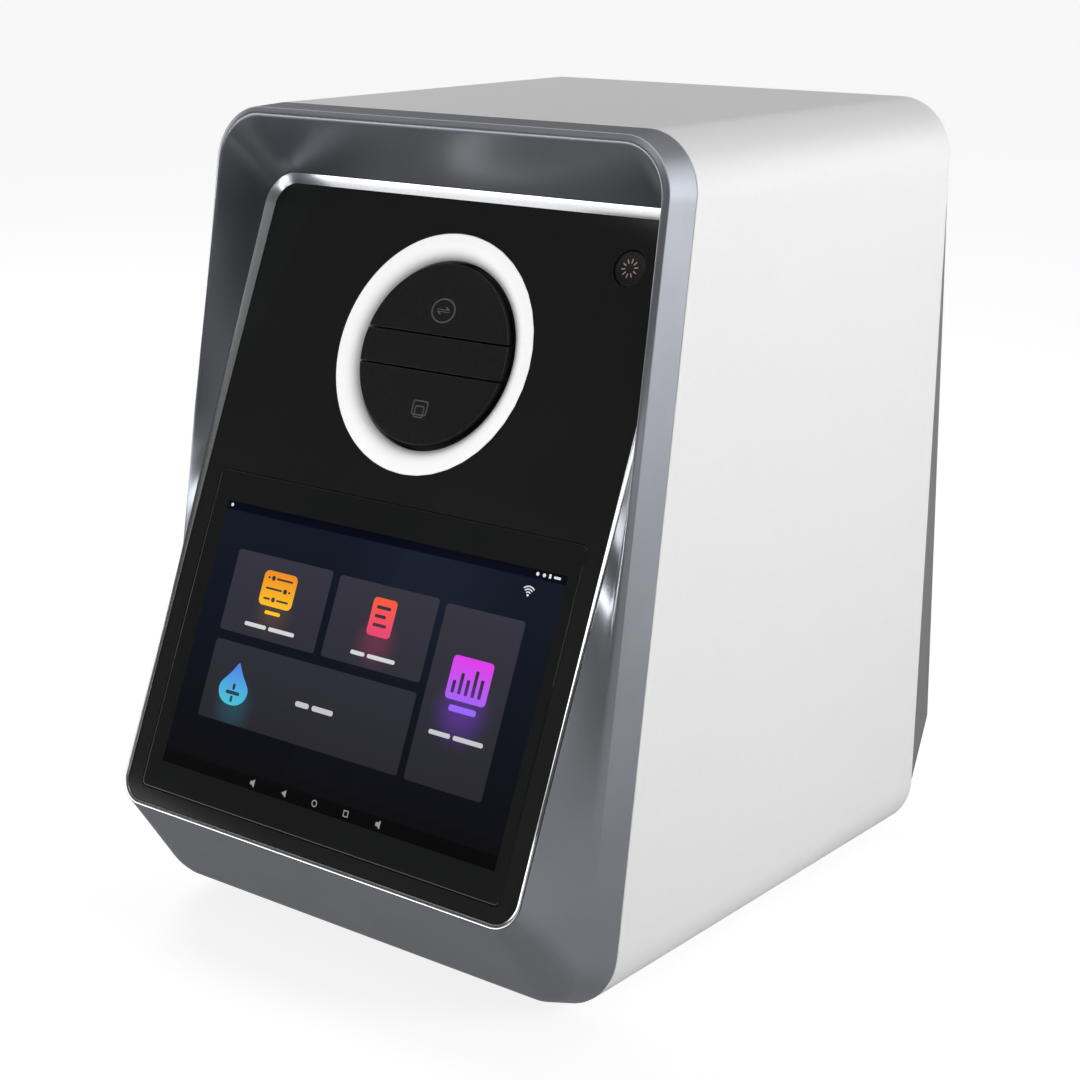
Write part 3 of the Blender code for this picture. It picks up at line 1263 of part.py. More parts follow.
def make_rear_cover():
    """The dished back with rounded edges, a tongue inside the shell, and the openings for air and sockets."""
    straight = CASE_TOP - CASE_BOTTOM - 2 * CASE_CORNER_RADIUS
    low_share = (CHAMFER_TOP - CASE_BOTTOM - CASE_CORNER_RADIUS) / straight
    shares = (low_share / 2, low_share, *SIDE_SHARES[1:])
    edge = case_outline(COVER_INSET, shares)

    def edge_loop(inset_share, depth_share):
        """A loop of the rounded edge, which is smaller where the cover is shallow."""
        points = []
        for x, z, nx, nz in edge:
            room = back_depth(z) - rear_joint(z) - GAP
            size = min(COVER_EDGE, room * EDGE_DEPTH_SHARE)
            y = back_depth(z) - size * depth_share
            points.append((x - nx * size * inset_share, y, z - nz * size * inset_share))
        return points

    tongue = case_outline(CASE_WALL + GAP, shares)
    inner = case_outline(CASE_WALL + GAP + TONGUE_WALL, shares)
    loops = [edge_loop(1, 0), edge_loop(ROUND_SHARE, ROUND_SHARE), edge_loop(0, 1)]
    loops += [upright(edge, rear_joint, GAP), upright(tongue, rear_joint, GAP)]
    loops += [upright(tongue, rear_joint, -TONGUE_LENGTH), upright(inner, rear_joint, -TONGUE_LENGTH)]
    loops += [upright(inner, back_depth, -CASE_WALL)]
    cover = part("rear_cover", loft(loops), ANALYZER, GREY_COVER)
    bosses = bmesh.new()
    for x, z in port_board_corners():
        add_rod(bosses, (-x, z, -PORT_BOARD_DEPTH + GAP), (-x, z, -CASE_WALL / 2), PORT_BOSS_RADIUS)
    fuse(cover, "port_board_bosses", bosses, parent=BACK)
    cut(cover, "fan_grille", grille_slots(), parent=BACK, at=(-FAN_X, FAN_Z, 0))
    holes = bmesh.new()
    low = -CASE_WALL - OVERRUN
    for index in range(VENT_COUNT):
        b = VENT_Z + VENT_PITCH * index
        high = (-VENT_X + VENT_LENGTH / 2, b + VENT_WIDTH, OVERRUN)
        add_box(holes, (-VENT_X - VENT_LENGTH / 2, b, low), high)
    for x, z, width, height in (
        (INLET_X, INLET_Z, INLET_WIDTH, INLET_HEIGHT),
        (SWITCH_X, SWITCH_Z, SWITCH_WIDTH, SWITCH_HEIGHT),
        (USB_X, PORT_Z, USB_WIDTH, USB_HEIGHT),
        (LAN_X, PORT_Z, LAN_WIDTH, LAN_HEIGHT),
    ):
        half_width = width / 2 + GAP
        half_height = height / 2 + GAP
        add_box(holes, (-x - half_width, z - half_height, low), (-x + half_width, z + half_height, OVERRUN))
    cut(cover, "rear_openings", holes, parent=BACK)


def port_board_corners():
    """The middles of the bosses that hold the port board, in x and height."""
    reach_x = PORT_BOARD_HALF_WIDTH - PORT_BOARD_INSET
    reach_z = PORT_BOARD_HALF_HEIGHT - PORT_BOARD_INSET
    return [(PORT_BOARD_X + x * reach_x, PORT_Z + z * reach_z) for x in (-1, 1) for z in (-1, 1)]


def grille_slots():
    """Rings of slots in front of the fan, with bars between the rings and spokes between the sectors."""
    shape = bmesh.new()
    pitch = (FAN_BORE_RADIUS - GRILLE_HUB_RADIUS) / GRILLE_RINGS
    for ring in range(GRILLE_RINGS):
        inner = GRILLE_HUB_RADIUS + pitch * ring
        outer = inner + pitch - GRILLE_BAR
        for sector in range(GRILLE_SECTORS):
            start = 2 * pi * (sector + 0.5) / GRILLE_SECTORS
            points = []
            for radius, forward in ((inner, True), (outer, False)):
                margin = GRILLE_BAR / 2 / radius
                span = 2 * pi / GRILLE_SECTORS - 2 * margin
                steps = ARC_STEPS // 2 + ring
                for step in range(steps + 1):
                    share = step / steps if forward else 1 - step / steps
                    angle = start + margin + span * share
                    points.append((radius * cos(angle), radius * sin(angle)))
            add_prism(shape, points, -CASE_WALL - OVERRUN, OVERRUN)
    return shape


def make_fan():
    """The axial fan behind the grille: a square frame with struts, stator and pin, and a bladed rotor."""
    back = -CASE_WALL - GAP
    hub = empty("fan_axis", BACK, (-FAN_X, FAN_Z, back))
    half = FAN_SIZE / 2
    shape = bmesh.new()
    add_prism(shape, corner_points(half, half, FAN_CORNER, 3), -FAN_DEPTH, 0)
    frame = part("fan_frame", shape, hub, BLACK_PLASTIC)
    bore = rod((0, 0, -FAN_DEPTH - OVERRUN), (0, 0, OVERRUN), FAN_BORE_RADIUS, ROUND_STEPS)
    cut(frame, "fan_bore", bore)
    struts = bmesh.new()
    reach = FAN_BORE_RADIUS + FAN_STRUT_OVERLAP
    width = FAN_STRUT_WIDTH / 2
    section = [(-reach, -width), (-width, -width), (-width, -reach)]
    section += [(width, -reach), (width, -width), (reach, -width)]
    section += [(-x, -y) for x, y in section]
    add_prism(struts, section, -FAN_STRUT_DEPTH, 0)
    fuse(frame, "fan_struts", struts, turn=(0, 0, pi / 4))
    stator_back = -FAN_STRUT_DEPTH - FAN_STATOR_DEPTH
    profile = [
        (0, 0),
        (FAN_HUB_RADIUS, 0),
        (FAN_HUB_RADIUS, -FAN_STRUT_DEPTH),
        (FAN_STATOR_RADIUS, -FAN_STRUT_DEPTH),
        (FAN_STATOR_RADIUS, stator_back),
        (FAN_PIN_RADIUS, stator_back),
        (FAN_PIN_RADIUS, stator_back - FAN_PIN_LENGTH),
        (0, stator_back - FAN_PIN_LENGTH),
    ]
    stator = fuse(frame, "fan_stator", profile_mesh("fan_stator", profile))
    turn_profile(stator)
    holes = bmesh.new()
    reach = FAN_SCREW_PITCH / 2
    for x in (-reach, reach):
        for y in (-reach, reach):
            add_rod(holes, (x, y, -FAN_DEPTH - OVERRUN), (x, y, OVERRUN), FAN_SCREW_RADIUS, steps=ARC_STEPS)
    cut(frame, "fan_screw_holes", holes)

    rotor_back = -FAN_STRUT_DEPTH - GAP - FAN_ROTOR_DEPTH
    cup = rotor_back + FAN_HUB_WALL
    hollow = FAN_HUB_RADIUS - FAN_HUB_WALL
    sleeve = FAN_PIN_RADIUS + PIN_GAP
    profile = [
        (FAN_HUB_RADIUS, -FAN_STRUT_DEPTH - GAP),
        (FAN_HUB_RADIUS, rotor_back),
        (0, rotor_back),
        (0, cup),
        (sleeve, cup),
        (sleeve, cup + FAN_SLEEVE_LENGTH),
        (FAN_SLEEVE_RADIUS, cup + FAN_SLEEVE_LENGTH),
        (FAN_SLEEVE_RADIUS, cup),
        (hollow, cup),
        (hollow, -FAN_STRUT_DEPTH - GAP),
    ]
    rotor = turned("fan_rotor", profile, hub, BLACK_PLASTIC, closed=True)
    blades = bmesh.new()
    for index in range(BLADE_COUNT):
        add_blade(blades, 2 * pi * index / BLADE_COUNT, (cup - FAN_STRUT_DEPTH - GAP) / 2)
    fuse(rotor, "fan_blades", blades)


def add_blade(shape, start, middle):
    """A cambered blade of four sections, whose pitch falls and whose chord grows from the hub to the tip."""
    root = FAN_HUB_RADIUS - FAN_HUB_WALL / 2
    tip = FAN_BORE_RADIUS - FAN_TIP_GAP
    chord_shares = (0, 0.25, 0.5, 0.75, 1)
    rows = []
    for span in (0, 0.33, 0.67, 1):
        radius = root + (tip - root) * span
        chord = BLADE_CHORD_ROOT + (BLADE_CHORD_TIP - BLADE_CHORD_ROOT) * span
        pitch = radians(BLADE_ROOT_DEGREES + (BLADE_TIP_DEGREES - BLADE_ROOT_DEGREES) * span)
        sweep = start + radians(BLADE_SWEEP_DEGREES) * span
        rows.append([])
        for side, shares in ((1, chord_shares), (-1, chord_shares[::-1])):
            for share in shares:
                belly = 4 * share * (1 - share)
                along = (share - 0.5) * chord
                lift = BLADE_CAMBER_SHARE * chord * belly
                lift += side * (BLADE_EDGE + (BLADE_THICKNESS - BLADE_EDGE) * belly) / 2
                angle = sweep + (along * cos(pitch) - lift * sin(pitch)) / radius
                height = middle + along * sin(pitch) + lift * cos(pitch)
                rows[-1].append(shape.verts.new((radius * cos(angle), radius * sin(angle), height)))
    count = len(rows[0])
    for near, far in zip(rows, rows[1:]):
        for index in range(count):
            after = (index + 1) % count
            shape.faces.new((near[index], near[after], far[after], far[index]))
    shape.faces.new(rows[0])
    shape.faces.new(rows[-1])


def make_power_inlet():
    """The mains inlet: a flange inside the cover, a socket with three pins in its opening."""
    flange = bmesh.new()
    outline = corner_points(INLET_FLANGE_WIDTH / 2, INLET_FLANGE_HEIGHT / 2, INLET_CORNER)
    top = -CASE_WALL - GAP
    add_prism(flange, outline, top - INLET_FLANGE_THICKNESS, top)
    inlet = part("power_inlet", flange, BACK, BLACK_PLASTIC, (-INLET_X, INLET_Z, 0))
    half_width = INLET_WIDTH / 2
    half_height = INLET_HEIGHT / 2
    body = box((-half_width, -half_height, -INLET_DEPTH), (half_width, half_height, -SOCKET_SINK))
    fuse(inlet, "inlet_body", body)
    hollow = box(
        (INLET_WALL - half_width, INLET_WALL - half_height, -INLET_HOLLOW_DEPTH),
        (half_width - INLET_WALL, half_height - INLET_WALL, OVERRUN),
    )
    cut(inlet, "inlet_hollow", hollow)
    pins = bmesh.new()
    wide = INLET_PIN_WIDTH / 2
    tall = INLET_PIN_BREADTH / 2
    live = -INLET_LIVE_DROP
    for x, y in ((-INLET_PIN_X, live), (INLET_PIN_X, live), (0, INLET_EARTH_RISE)):
        low = (x - wide, y - tall, -INLET_HOLLOW_DEPTH - INLET_WALL)
        add_box(pins, low, (x + wide, y + tall, INLET_PIN_LENGTH - INLET_HOLLOW_DEPTH))
    fuse(inlet, "inlet_pins", pins)


def make_switch():
    """The mains switch: a housing with a well, and a rocker on two pins that rests tipped to one side."""
    half_width = SWITCH_WIDTH / 2
    half_height = SWITCH_HEIGHT / 2
    well_x = half_width - SWITCH_WALL
    well_y = half_height - SWITCH_WALL
    place = (-SWITCH_X, SWITCH_Z, 0)
    low = (-half_width, -half_height, -SWITCH_DEPTH)
    shape = box(low, (half_width, half_height, -SOCKET_SINK))
    housing = part("switch_body", shape, BACK, BLACK_PLASTIC, place)
    top = -CASE_WALL - GAP
    rim = SWITCH_FLANGE
    low = (-half_width - rim, -half_height - rim, top - SWITCH_FLANGE_THICKNESS)
    fuse(housing, "switch_flange", box(low, (half_width + rim, half_height + rim, top)))
    cut(housing, "switch_well", box((-well_x, -well_y, -SWITCH_WELL_DEPTH), (well_x, well_y, OVERRUN)))
    reach = well_x - SLIDE_GAP + ROCKER_PIN_REACH
    depth = -ROCKER_PIVOT_DEPTH
    high = (reach + GAP, 0, depth)
    sockets = rod((-reach - GAP, 0, depth), high, ROCKER_PIN_RADIUS + GAP, ARC_STEPS + ARC_STEPS)
    cut(housing, "pin_sockets", sockets)

    pivot = empty("rocker_axis", BACK, (-SWITCH_X, SWITCH_Z, depth), (radians(ROCKER_TILT_DEGREES), 0, 0))
    outline = []
    rise = radians(ROCKER_RISE_DEGREES)
    under = radians(ROCKER_UNDER_DEGREES)
    for step in range(ARC_STEPS // 2 + 1):
        angle = rise - (rise + under) * 2 * step / ARC_STEPS
        outline.append((ROCKER_RADIUS * cos(angle), ROCKER_RADIUS * sin(angle)))
    outline += [(-y, z) for y, z in reversed(outline)]
    outline.append((0, ROCKER_RADIUS * ROCKER_WAIST_SHARE))
    half = well_x - SLIDE_GAP
    shape = bmesh.new()
    add_prism(shape, outline, -half, half, "X")
    rocker = part("switch_rocker", shape, pivot, BLACK_GLOSS)
    fuse(rocker, "rocker_pins", rod((-reach, 0, 0), (reach, 0, 0), ROCKER_PIN_RADIUS, ARC_STEPS + ARC_STEPS))


def make_ports():
    """The small board on the cover's bosses, with a flat data socket and a network socket in the openings."""
    half_width = PORT_BOARD_HALF_WIDTH
    half_height = PORT_BOARD_HALF_HEIGHT
    front = -PORT_BOARD_DEPTH
    low = (-half_width, -half_height, front - BOARD_THICKNESS)
    board = box(low, (half_width, half_height, front))
    part("port_board", board, BACK, BOARD_GREEN, (-PORT_BOARD_X, PORT_Z, 0))

    low_z = front + GAP
    half_width = USB_WIDTH / 2
    half_height = USB_HEIGHT / 2
    body = box((-half_width, -half_height, low_z), (half_width, half_height, -SOCKET_SINK))
    usb = part("usb_port", body, BACK, POLISHED_STEEL, (-USB_X, PORT_Z, 0))
    inner_x = half_width - USB_WALL
    inner_y = half_height - USB_WALL
    floor = -SOCKET_SINK - USB_HOLLOW_DEPTH
    cut(usb, "usb_hollow", box((-inner_x, -inner_y, floor), (inner_x, inner_y, OVERRUN)))
    half = USB_TONGUE_WIDTH / 2
    low = (-half, inner_y - USB_TONGUE_THICKNESS - USB_WALL, floor - USB_WALL)
    tongue = box(low, (half, inner_y - USB_WALL, -2 * SOCKET_SINK))
    fuse(usb, "usb_tongue", tongue)

    half_width = LAN_WIDTH / 2
    half_height = LAN_HEIGHT / 2
    body = box((-half_width, -half_height, low_z), (half_width, half_height, -SOCKET_SINK))
    lan = part("network_port", body, BACK, SHEET_STEEL, (-LAN_X, PORT_Z, 0))
    inner_x = LAN_HOLLOW_WIDTH / 2
    inner_y = LAN_HOLLOW_HEIGHT / 2
    notch_x = LAN_NOTCH_WIDTH / 2
    notch_y = -inner_y - LAN_NOTCH_HEIGHT
    floor = -SOCKET_SINK - LAN_HOLLOW_DEPTH
    outline = [(inner_x, -inner_y), (inner_x, inner_y), (-inner_x, inner_y), (-inner_x, -inner_y)]
    outline += [(-notch_x, -inner_y), (-notch_x, notch_y), (notch_x, notch_y), (notch_x, -inner_y)]
    hollow = bmesh.new()
    add_prism(hollow, outline, floor, OVERRUN)
    cut(lan, "network_hollow", hollow)


def make_power_button():
    """The round button in the panel, its cup behind the panel and the switch in the cup's skirt."""
    axis = empty("button_axis", PANEL, (BUTTON_X, BUTTON_U, 0))
    front = -BUTTON_SINK
    back = front - BUTTON_THICKNESS
    stem = back - BUTTON_STEM_LENGTH
    edge = BUTTON_EDGE
    profile = [
        (0, front),
        (BUTTON_RADIUS - edge, front),
        (BUTTON_RADIUS, front - edge),
        (BUTTON_RADIUS, back),
        (BUTTON_STEM_RADIUS, back),
        (BUTTON_STEM_RADIUS, stem),
        (0, stem),
    ]
    turned("power_button", profile, axis, KEY_BLACK)

    inner = BUTTON_RADIUS + BUTTON_GAP
    outer = inner + BUTTON_CUP_WALL
    top = -PANEL_THICKNESS - GAP
    floor = -BUTTON_FLOOR_DEPTH
    under = floor - BUTTON_FLOOR_THICKNESS
    skirt = outer - BUTTON_SKIRT_WALL
    profile = [
        (outer, top),
        (outer, -BUTTON_SKIRT_DEPTH),
        (skirt, -BUTTON_SKIRT_DEPTH),
        (skirt, under),
        (BUTTON_STEM_RADIUS + PIN_GAP, under),
        (BUTTON_STEM_RADIUS + PIN_GAP, floor),
        (inner, floor),
        (inner, top),
    ]
    turned("button_housing", profile, axis, BLACK_PLASTIC, closed=True)

    half = BUTTON_SWITCH_SIZE / 2
    plunger = stem - BUTTON_TRAVEL - GAP
    top = plunger - BUTTON_PLUNGER_HEIGHT
    shape = box((-half, -half, top - BUTTON_SWITCH_HEIGHT), (half, half, top))
    switch = part("button_switch", shape, axis, BLACK_PLASTIC)
    fuse(switch, "plunger", rod((0, 0, top - BUTTON_PLUNGER_HEIGHT), (0, 0, plunger), BUTTON_PLUNGER_RADIUS))


make_outer_shell()
make_front_bezel()
make_trim_ring()
make_front_panel()
make_display()
make_light_ring()
make_key_carrier()
make_key_board()
make_keys()
make_tray()
make_rails()
make_drive()
make_deck()
make_base_plate()
make_feet()
make_mainboard()
make_power_supply()
make_microscope()
make_rear_cover()
make_fan()
make_power_inlet()
make_switch()
make_ports()
make_power_button()
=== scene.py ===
"""Looks of a tabletop hematology analyzer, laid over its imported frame, in metres with +Z up.

The front faces -Y. Sizes are counted from the middle of the panel's lower edge: x to the right, y to the back
and z up. ORIGIN moves them to the frame's own zero, which lies on the bench under the middle of the case.
"""

from math import cos, pi, radians, sin

import bmesh
import bpy
import numpy as np
from mathutils import Matrix, Vector


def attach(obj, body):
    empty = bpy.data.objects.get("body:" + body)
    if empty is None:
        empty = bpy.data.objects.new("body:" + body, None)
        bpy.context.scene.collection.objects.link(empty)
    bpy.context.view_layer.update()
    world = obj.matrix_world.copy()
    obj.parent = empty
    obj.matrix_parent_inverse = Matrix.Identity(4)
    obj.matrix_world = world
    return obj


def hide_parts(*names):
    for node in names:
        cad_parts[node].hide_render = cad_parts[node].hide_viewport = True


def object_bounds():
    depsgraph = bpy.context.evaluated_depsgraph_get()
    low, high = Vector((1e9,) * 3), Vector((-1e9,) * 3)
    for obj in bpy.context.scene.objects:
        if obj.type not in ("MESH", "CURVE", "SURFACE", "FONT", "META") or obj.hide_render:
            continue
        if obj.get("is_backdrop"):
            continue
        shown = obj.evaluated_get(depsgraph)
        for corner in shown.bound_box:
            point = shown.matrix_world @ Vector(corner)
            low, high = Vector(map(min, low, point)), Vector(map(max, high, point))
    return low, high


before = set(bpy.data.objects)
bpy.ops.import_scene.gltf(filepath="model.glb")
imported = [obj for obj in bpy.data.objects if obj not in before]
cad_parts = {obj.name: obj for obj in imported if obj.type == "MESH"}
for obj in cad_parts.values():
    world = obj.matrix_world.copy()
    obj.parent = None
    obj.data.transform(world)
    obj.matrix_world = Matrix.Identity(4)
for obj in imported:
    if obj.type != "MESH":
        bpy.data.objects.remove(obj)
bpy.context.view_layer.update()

# Case shell: one white rounded tube of satin lacquered sheet, cut at a slant at both ends.
# Its edges are rolled over by 0.6 mm where it meets the bezel and the rear cover.
ORIGIN = np.array([0, -0.177738, 0.066])
CASE = {"half_width": 0.14134, "bottom": -0.061, "top": 0.342, "radius": 0.030}
CASE_WALL = 0.0025
SEAM = 0.0003
SHELL_EDGE = 0.0006
FRONT_JOINT = {"depth": 0.0659, "slope": 0.1543}
REAR_JOINT = {"depth": 0.3378, "slope": 0.0227}


def outline(half_width, bottom, top, radius, per_corner=20, per_side=24):
    """A closed rounded rectangle as rows x, z, nx, nz, from the lower right corner over the top.

    A corner is its centre + radius * (cos a, sin a) over a quarter turn. A side is a straight run whose
    points crowd towards its ends as (1 - cos pi t) / 2."""
    start = (np.arange(4)[:, None] - 1) * pi / 2
    centre_x = np.array([[1], [1], [-1], [-1]]) * (half_width - radius)
    centre_z = np.array([[bottom + radius], [top - radius], [top - radius], [bottom + radius]])
    angle = start + np.linspace(0, pi / 2, per_corner, endpoint=False)
    arc_x = centre_x + radius * np.cos(angle)
    arc_z = centre_z + radius * np.sin(angle)
    arcs = np.stack([arc_x, arc_z, np.cos(angle), np.sin(angle)])
    ahead = np.stack([np.cos(start + pi / 2), np.sin(start + pi / 2)])
    near = np.stack([centre_x, centre_z]) + radius * ahead
    far = np.roll(np.stack([centre_x, centre_z]), -1, axis=1) + radius * ahead
    share = (1 - np.cos(pi * np.arange(per_side) / per_side)) / 2
    sides = np.concatenate([near + (far - near) * share, np.broadcast_to(ahead, (2, 4, per_side))])
    return np.concatenate([arcs, sides], axis=2).reshape(4, -1)


def case_loop(inset=0.0):
    """The case's outline, moved in by an inset."""
    radius = CASE["radius"] - inset
    return outline(CASE["half_width"] - inset, CASE["bottom"] + inset, CASE["top"] - inset, radius)


def upright(loop, depth):
    """A loop's points at a depth that is the same or one value for each point."""
    return np.stack([loop[0], np.broadcast_to(depth, loop[0].shape), loop[1]], axis=-1)


def front_joint(z):
    """Where the shell meets the bezel: a slanted plane."""
    return FRONT_JOINT["depth"] + FRONT_JOINT["slope"] * z


def rear_joint(z):
    """Where the shell meets the rear cover: a slanted plane."""
    return REAR_JOINT["depth"] + REAR_JOINT["slope"] * z


def rounded(corners, sizes, steps=5):
    """Rounds the corners of a closed section whose corner P has neighbours A and B.

    The curve is (1 - t)^2 E + 2 t (1 - t) P + t^2 F, with E and F a size away from P towards A and B. One
    more loop on each side, further out by 0.6 of the size, keeps the flats flat. A size of zero keeps the
    corner."""
    loops = []
    share = np.linspace(0, 1, steps + 1)[:, None, None]
    for index, size in enumerate(sizes):
        here = corners[index]
        if not size:
            loops.append(here[None])
            continue
        back = corners[index - 1] - here
        back = back / np.linalg.norm(back, axis=-1, keepdims=True) * size
        on = corners[(index + 1) % len(corners)] - here
        on = on / np.linalg.norm(on, axis=-1, keepdims=True) * size
        curve = (1 - share) ** 2 * (here + back) + 2 * share * (1 - share) * here + share**2 * (here + on)
        loops += [(here + back * 1.6)[None], curve, (here + on * 1.6)[None]]
    return np.concatenate(loops)


def surface(name, grid, closed_rows=True, sharp=38):
    """A mesh of a grid of points (rows, columns, 3): four neighbours make a face, and columns wrap round.

    Rows wrap round too, or else each end row has shrunk to one point. Welding closes seams and poles."""
    rows, columns = grid.shape[:2]
    row = np.arange(rows if closed_rows else rows - 1)[:, None] * columns
    column = np.arange(columns)[None]
    after = (column + 1) % columns
    below = (row + columns) % (rows * columns)
    faces = np.stack([row + column, row + after, below + after, below + column], -1)
    mesh = bpy.data.meshes.new(name)
    mesh.from_pydata((grid.reshape(-1, 3) + ORIGIN).tolist(), [], faces.reshape(-1, 4).tolist())
    return closed(mesh, sharp)


def closed(mesh, sharp=38):
    """Welds a mesh, turns its faces outwards and marks its sharp edges."""
    shape = bmesh.new()
    shape.from_mesh(mesh)
    bmesh.ops.remove_doubles(shape, verts=shape.verts, dist=1e-7)
    if shape.calc_volume(signed=True) < 0:
        bmesh.ops.reverse_faces(shape, faces=shape.faces)
    shape.to_mesh(mesh)
    shape.free()
    mesh.shade_smooth()
    mesh.set_sharp_from_angle(angle=radians(sharp))
    return mesh


def mount(mesh, finish, body, slot, *nodes):
    """Puts a mesh in the scene with its finish, on its body, in place of the CAD nodes that it stands for."""
    piece = bpy.data.objects.new(mesh.name, mesh)
    bpy.context.scene.collection.objects.link(piece)
    mesh.materials.clear()
    mesh.materials.append(finish)
    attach(piece, body)
    if nodes:
        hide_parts(*nodes)
    return piece


def tone(red, green, blue):
    """A colour as a screen shows it, 0 to 255, in linear light."""
    share = np.array([red, green, blue]) / 255
    linear = np.where(share <= 0.04045, share / 12.92, ((share + 0.055) / 1.055) ** 2.4)
    return (*(float(value) for value in linear), 1)


def grained(name, dark, light, roughness, grain, height, metallic=0, stretch=(1, 1, 1), cloud=30):
    """A finish whose colour drifts between two tones over a cloud of fractal noise.

    A fine grain moves its roughness between two values and lifts its surface by a height. Stretch draws the
    grain out."""
    material = bpy.data.materials.new(name)
    material.use_nodes = True
    nodes = material.node_tree.nodes
    links = material.node_tree.links
    shader = nodes["Principled BSDF"]
    shader.inputs["Metallic"].default_value = metallic
    where = nodes.new("ShaderNodeTexCoord")
    turned = nodes.new("ShaderNodeMapping")
    turned.inputs["Scale"].default_value = stretch
    links.new(where.outputs["Object"], turned.inputs["Vector"])
    noises = []
    for scale, detail in ((cloud, 4), (grain, 2)):
        noise = nodes.new("ShaderNodeTexNoise")
        noise.inputs["Scale"].default_value = scale
        noise.inputs["Detail"].default_value = detail
        links.new(turned.outputs["Vector"], noise.inputs["Vector"])
        noises.append(noise)
    ramp = nodes.new("ShaderNodeValToRGB")
    ramp.color_ramp.elements[0].position = 0.35
    ramp.color_ramp.elements[0].color = dark
    ramp.color_ramp.elements[1].position = 0.65
    ramp.color_ramp.elements[1].color = light
    links.new(noises[0].outputs["Fac"], ramp.inputs["Fac"])
    links.new(ramp.outputs["Color"], shader.inputs["Base Color"])
    spread = nodes.new("ShaderNodeMapRange")
    spread.inputs["From Min"].default_value = 0.3
    spread.inputs["From Max"].default_value = 0.7
    spread.inputs["To Min"].default_value = roughness[0]
    spread.inputs["To Max"].default_value = roughness[1]
    links.new(noises[1].outputs["Fac"], spread.inputs["Value"])
    links.new(spread.outputs["Result"], shader.inputs["Roughness"])
    bump = nodes.new("ShaderNodeBump")
    bump.inputs["Distance"].default_value = height
    links.new(noises[1].outputs["Fac"], bump.inputs["Height"])
    links.new(bump.outputs["Normal"], shader.inputs["Normal"])
    return material


def shader_of(material):
    """The Principled shader of a material."""
    return material.node_tree.nodes["Principled BSDF"]


lacquer_tones = (tone(236, 236, 236), tone(237, 237, 237))
white_lacquer = grained("white_lacquer", *lacquer_tones, (0.32, 0.38), 1600, 0.0000015, cloud=260)
outer = case_loop()
inner = case_loop(CASE_WALL)
shell_section = np.stack([
    upright(outer, front_joint(outer[1])),
    upright(outer, rear_joint(outer[1])),
    upright(inner, rear_joint(inner[1])),
    upright(inner, front_joint(inner[1])),
])
shell = surface("case_shell", rounded(shell_section, (SHELL_EDGE, SHELL_EDGE, 0, 0)))
mount(shell, white_lacquer, "housing", "white_shell", "outer_shell")

# Front bezel: a die-cast frame in gunmetal metallic lacquer, a hood over the panel that twists into a prow
# under it. A crease parts its outer band from its rolled lip, and it plugs into the shell with a tongue.
LEAN = radians(23)
PANEL = {"half_width": 0.1272, "bottom": 0.001, "top": 0.326, "radius": 0.012}
PANEL_THICKNESS = 0.003
SEAT_DEPTH = -0.0063
LEDGE_WIDTH = 0.003
LEDGE_BACK = -0.0083
BEZEL_WALL = 0.003
TONGUE_LENGTH = 0.006
TONGUE_WALL = 0.002
CREASE = {"half_width": 0.13984, "bottom": -0.0515, "top": 0.341, "radius": 0.027}
CREASE_PLANE = {"depth": 0.044, "slope": 0.1617}
CREASE_ROUND = 0.0005
CREST_INSET = {"side": 0.0014, "top": 0.0024, "bottom": 0.0008}
CREST_FORWARD = {"side": 0.0048, "top": 0.0036, "bottom": 0.0020}
CREST_FADE = 0.62
CREST_ROUND = 0.0016
SEAT_ROUND = 0.0003
TRIM_WIDTH = {"low": 0.002, "added": 0.0028}
TRIM_HEIGHT = {"low": 0.0005, "added": 0.0025}
TRIM_WIDENS_FROM = 0.3


def points_of(x, y, z):
    """Points from coordinates that are single numbers or arrays."""
    return np.stack(np.broadcast_arrays(x, y, z), axis=-1)


def on_panel(x, u, h):
    """A point of the leaning panel: u up its face from the lower edge, h out of it."""
    return points_of(x, u * sin(LEAN) - h * cos(LEAN), u * cos(LEAN) + h * sin(LEAN))


def trim_share(u):
    """How far the trim has widened at this height: none in the lower part, all at the top."""
    start = PANEL["bottom"] + (PANEL["top"] - PANEL["bottom"]) * TRIM_WIDENS_FROM
    return np.clip((u - start) / (PANEL["top"] - start), 0, 1)


def panel_loop(width_share, offset, depth=None, rooms=0.0):
    """The panel's outline moved out by a share of the trim's width and an offset.

    It lies at a depth, or else at the height of the trim's outer edge."""
    x, u, nx, nu = outline(**PANEL)
    out = (TRIM_WIDTH["low"] + TRIM_WIDTH["added"] * trim_share(u)) * width_share + offset + rooms
    h = TRIM_HEIGHT["low"] + TRIM_HEIGHT["added"] * trim_share(u) if depth is None else depth
    return on_panel(x + nx * out, u + nu * out, h)


def crease_plane(z):
    """Where the crease runs: a slanted plane."""
    return CREASE_PLANE["depth"] + CREASE_PLANE["slope"] * z


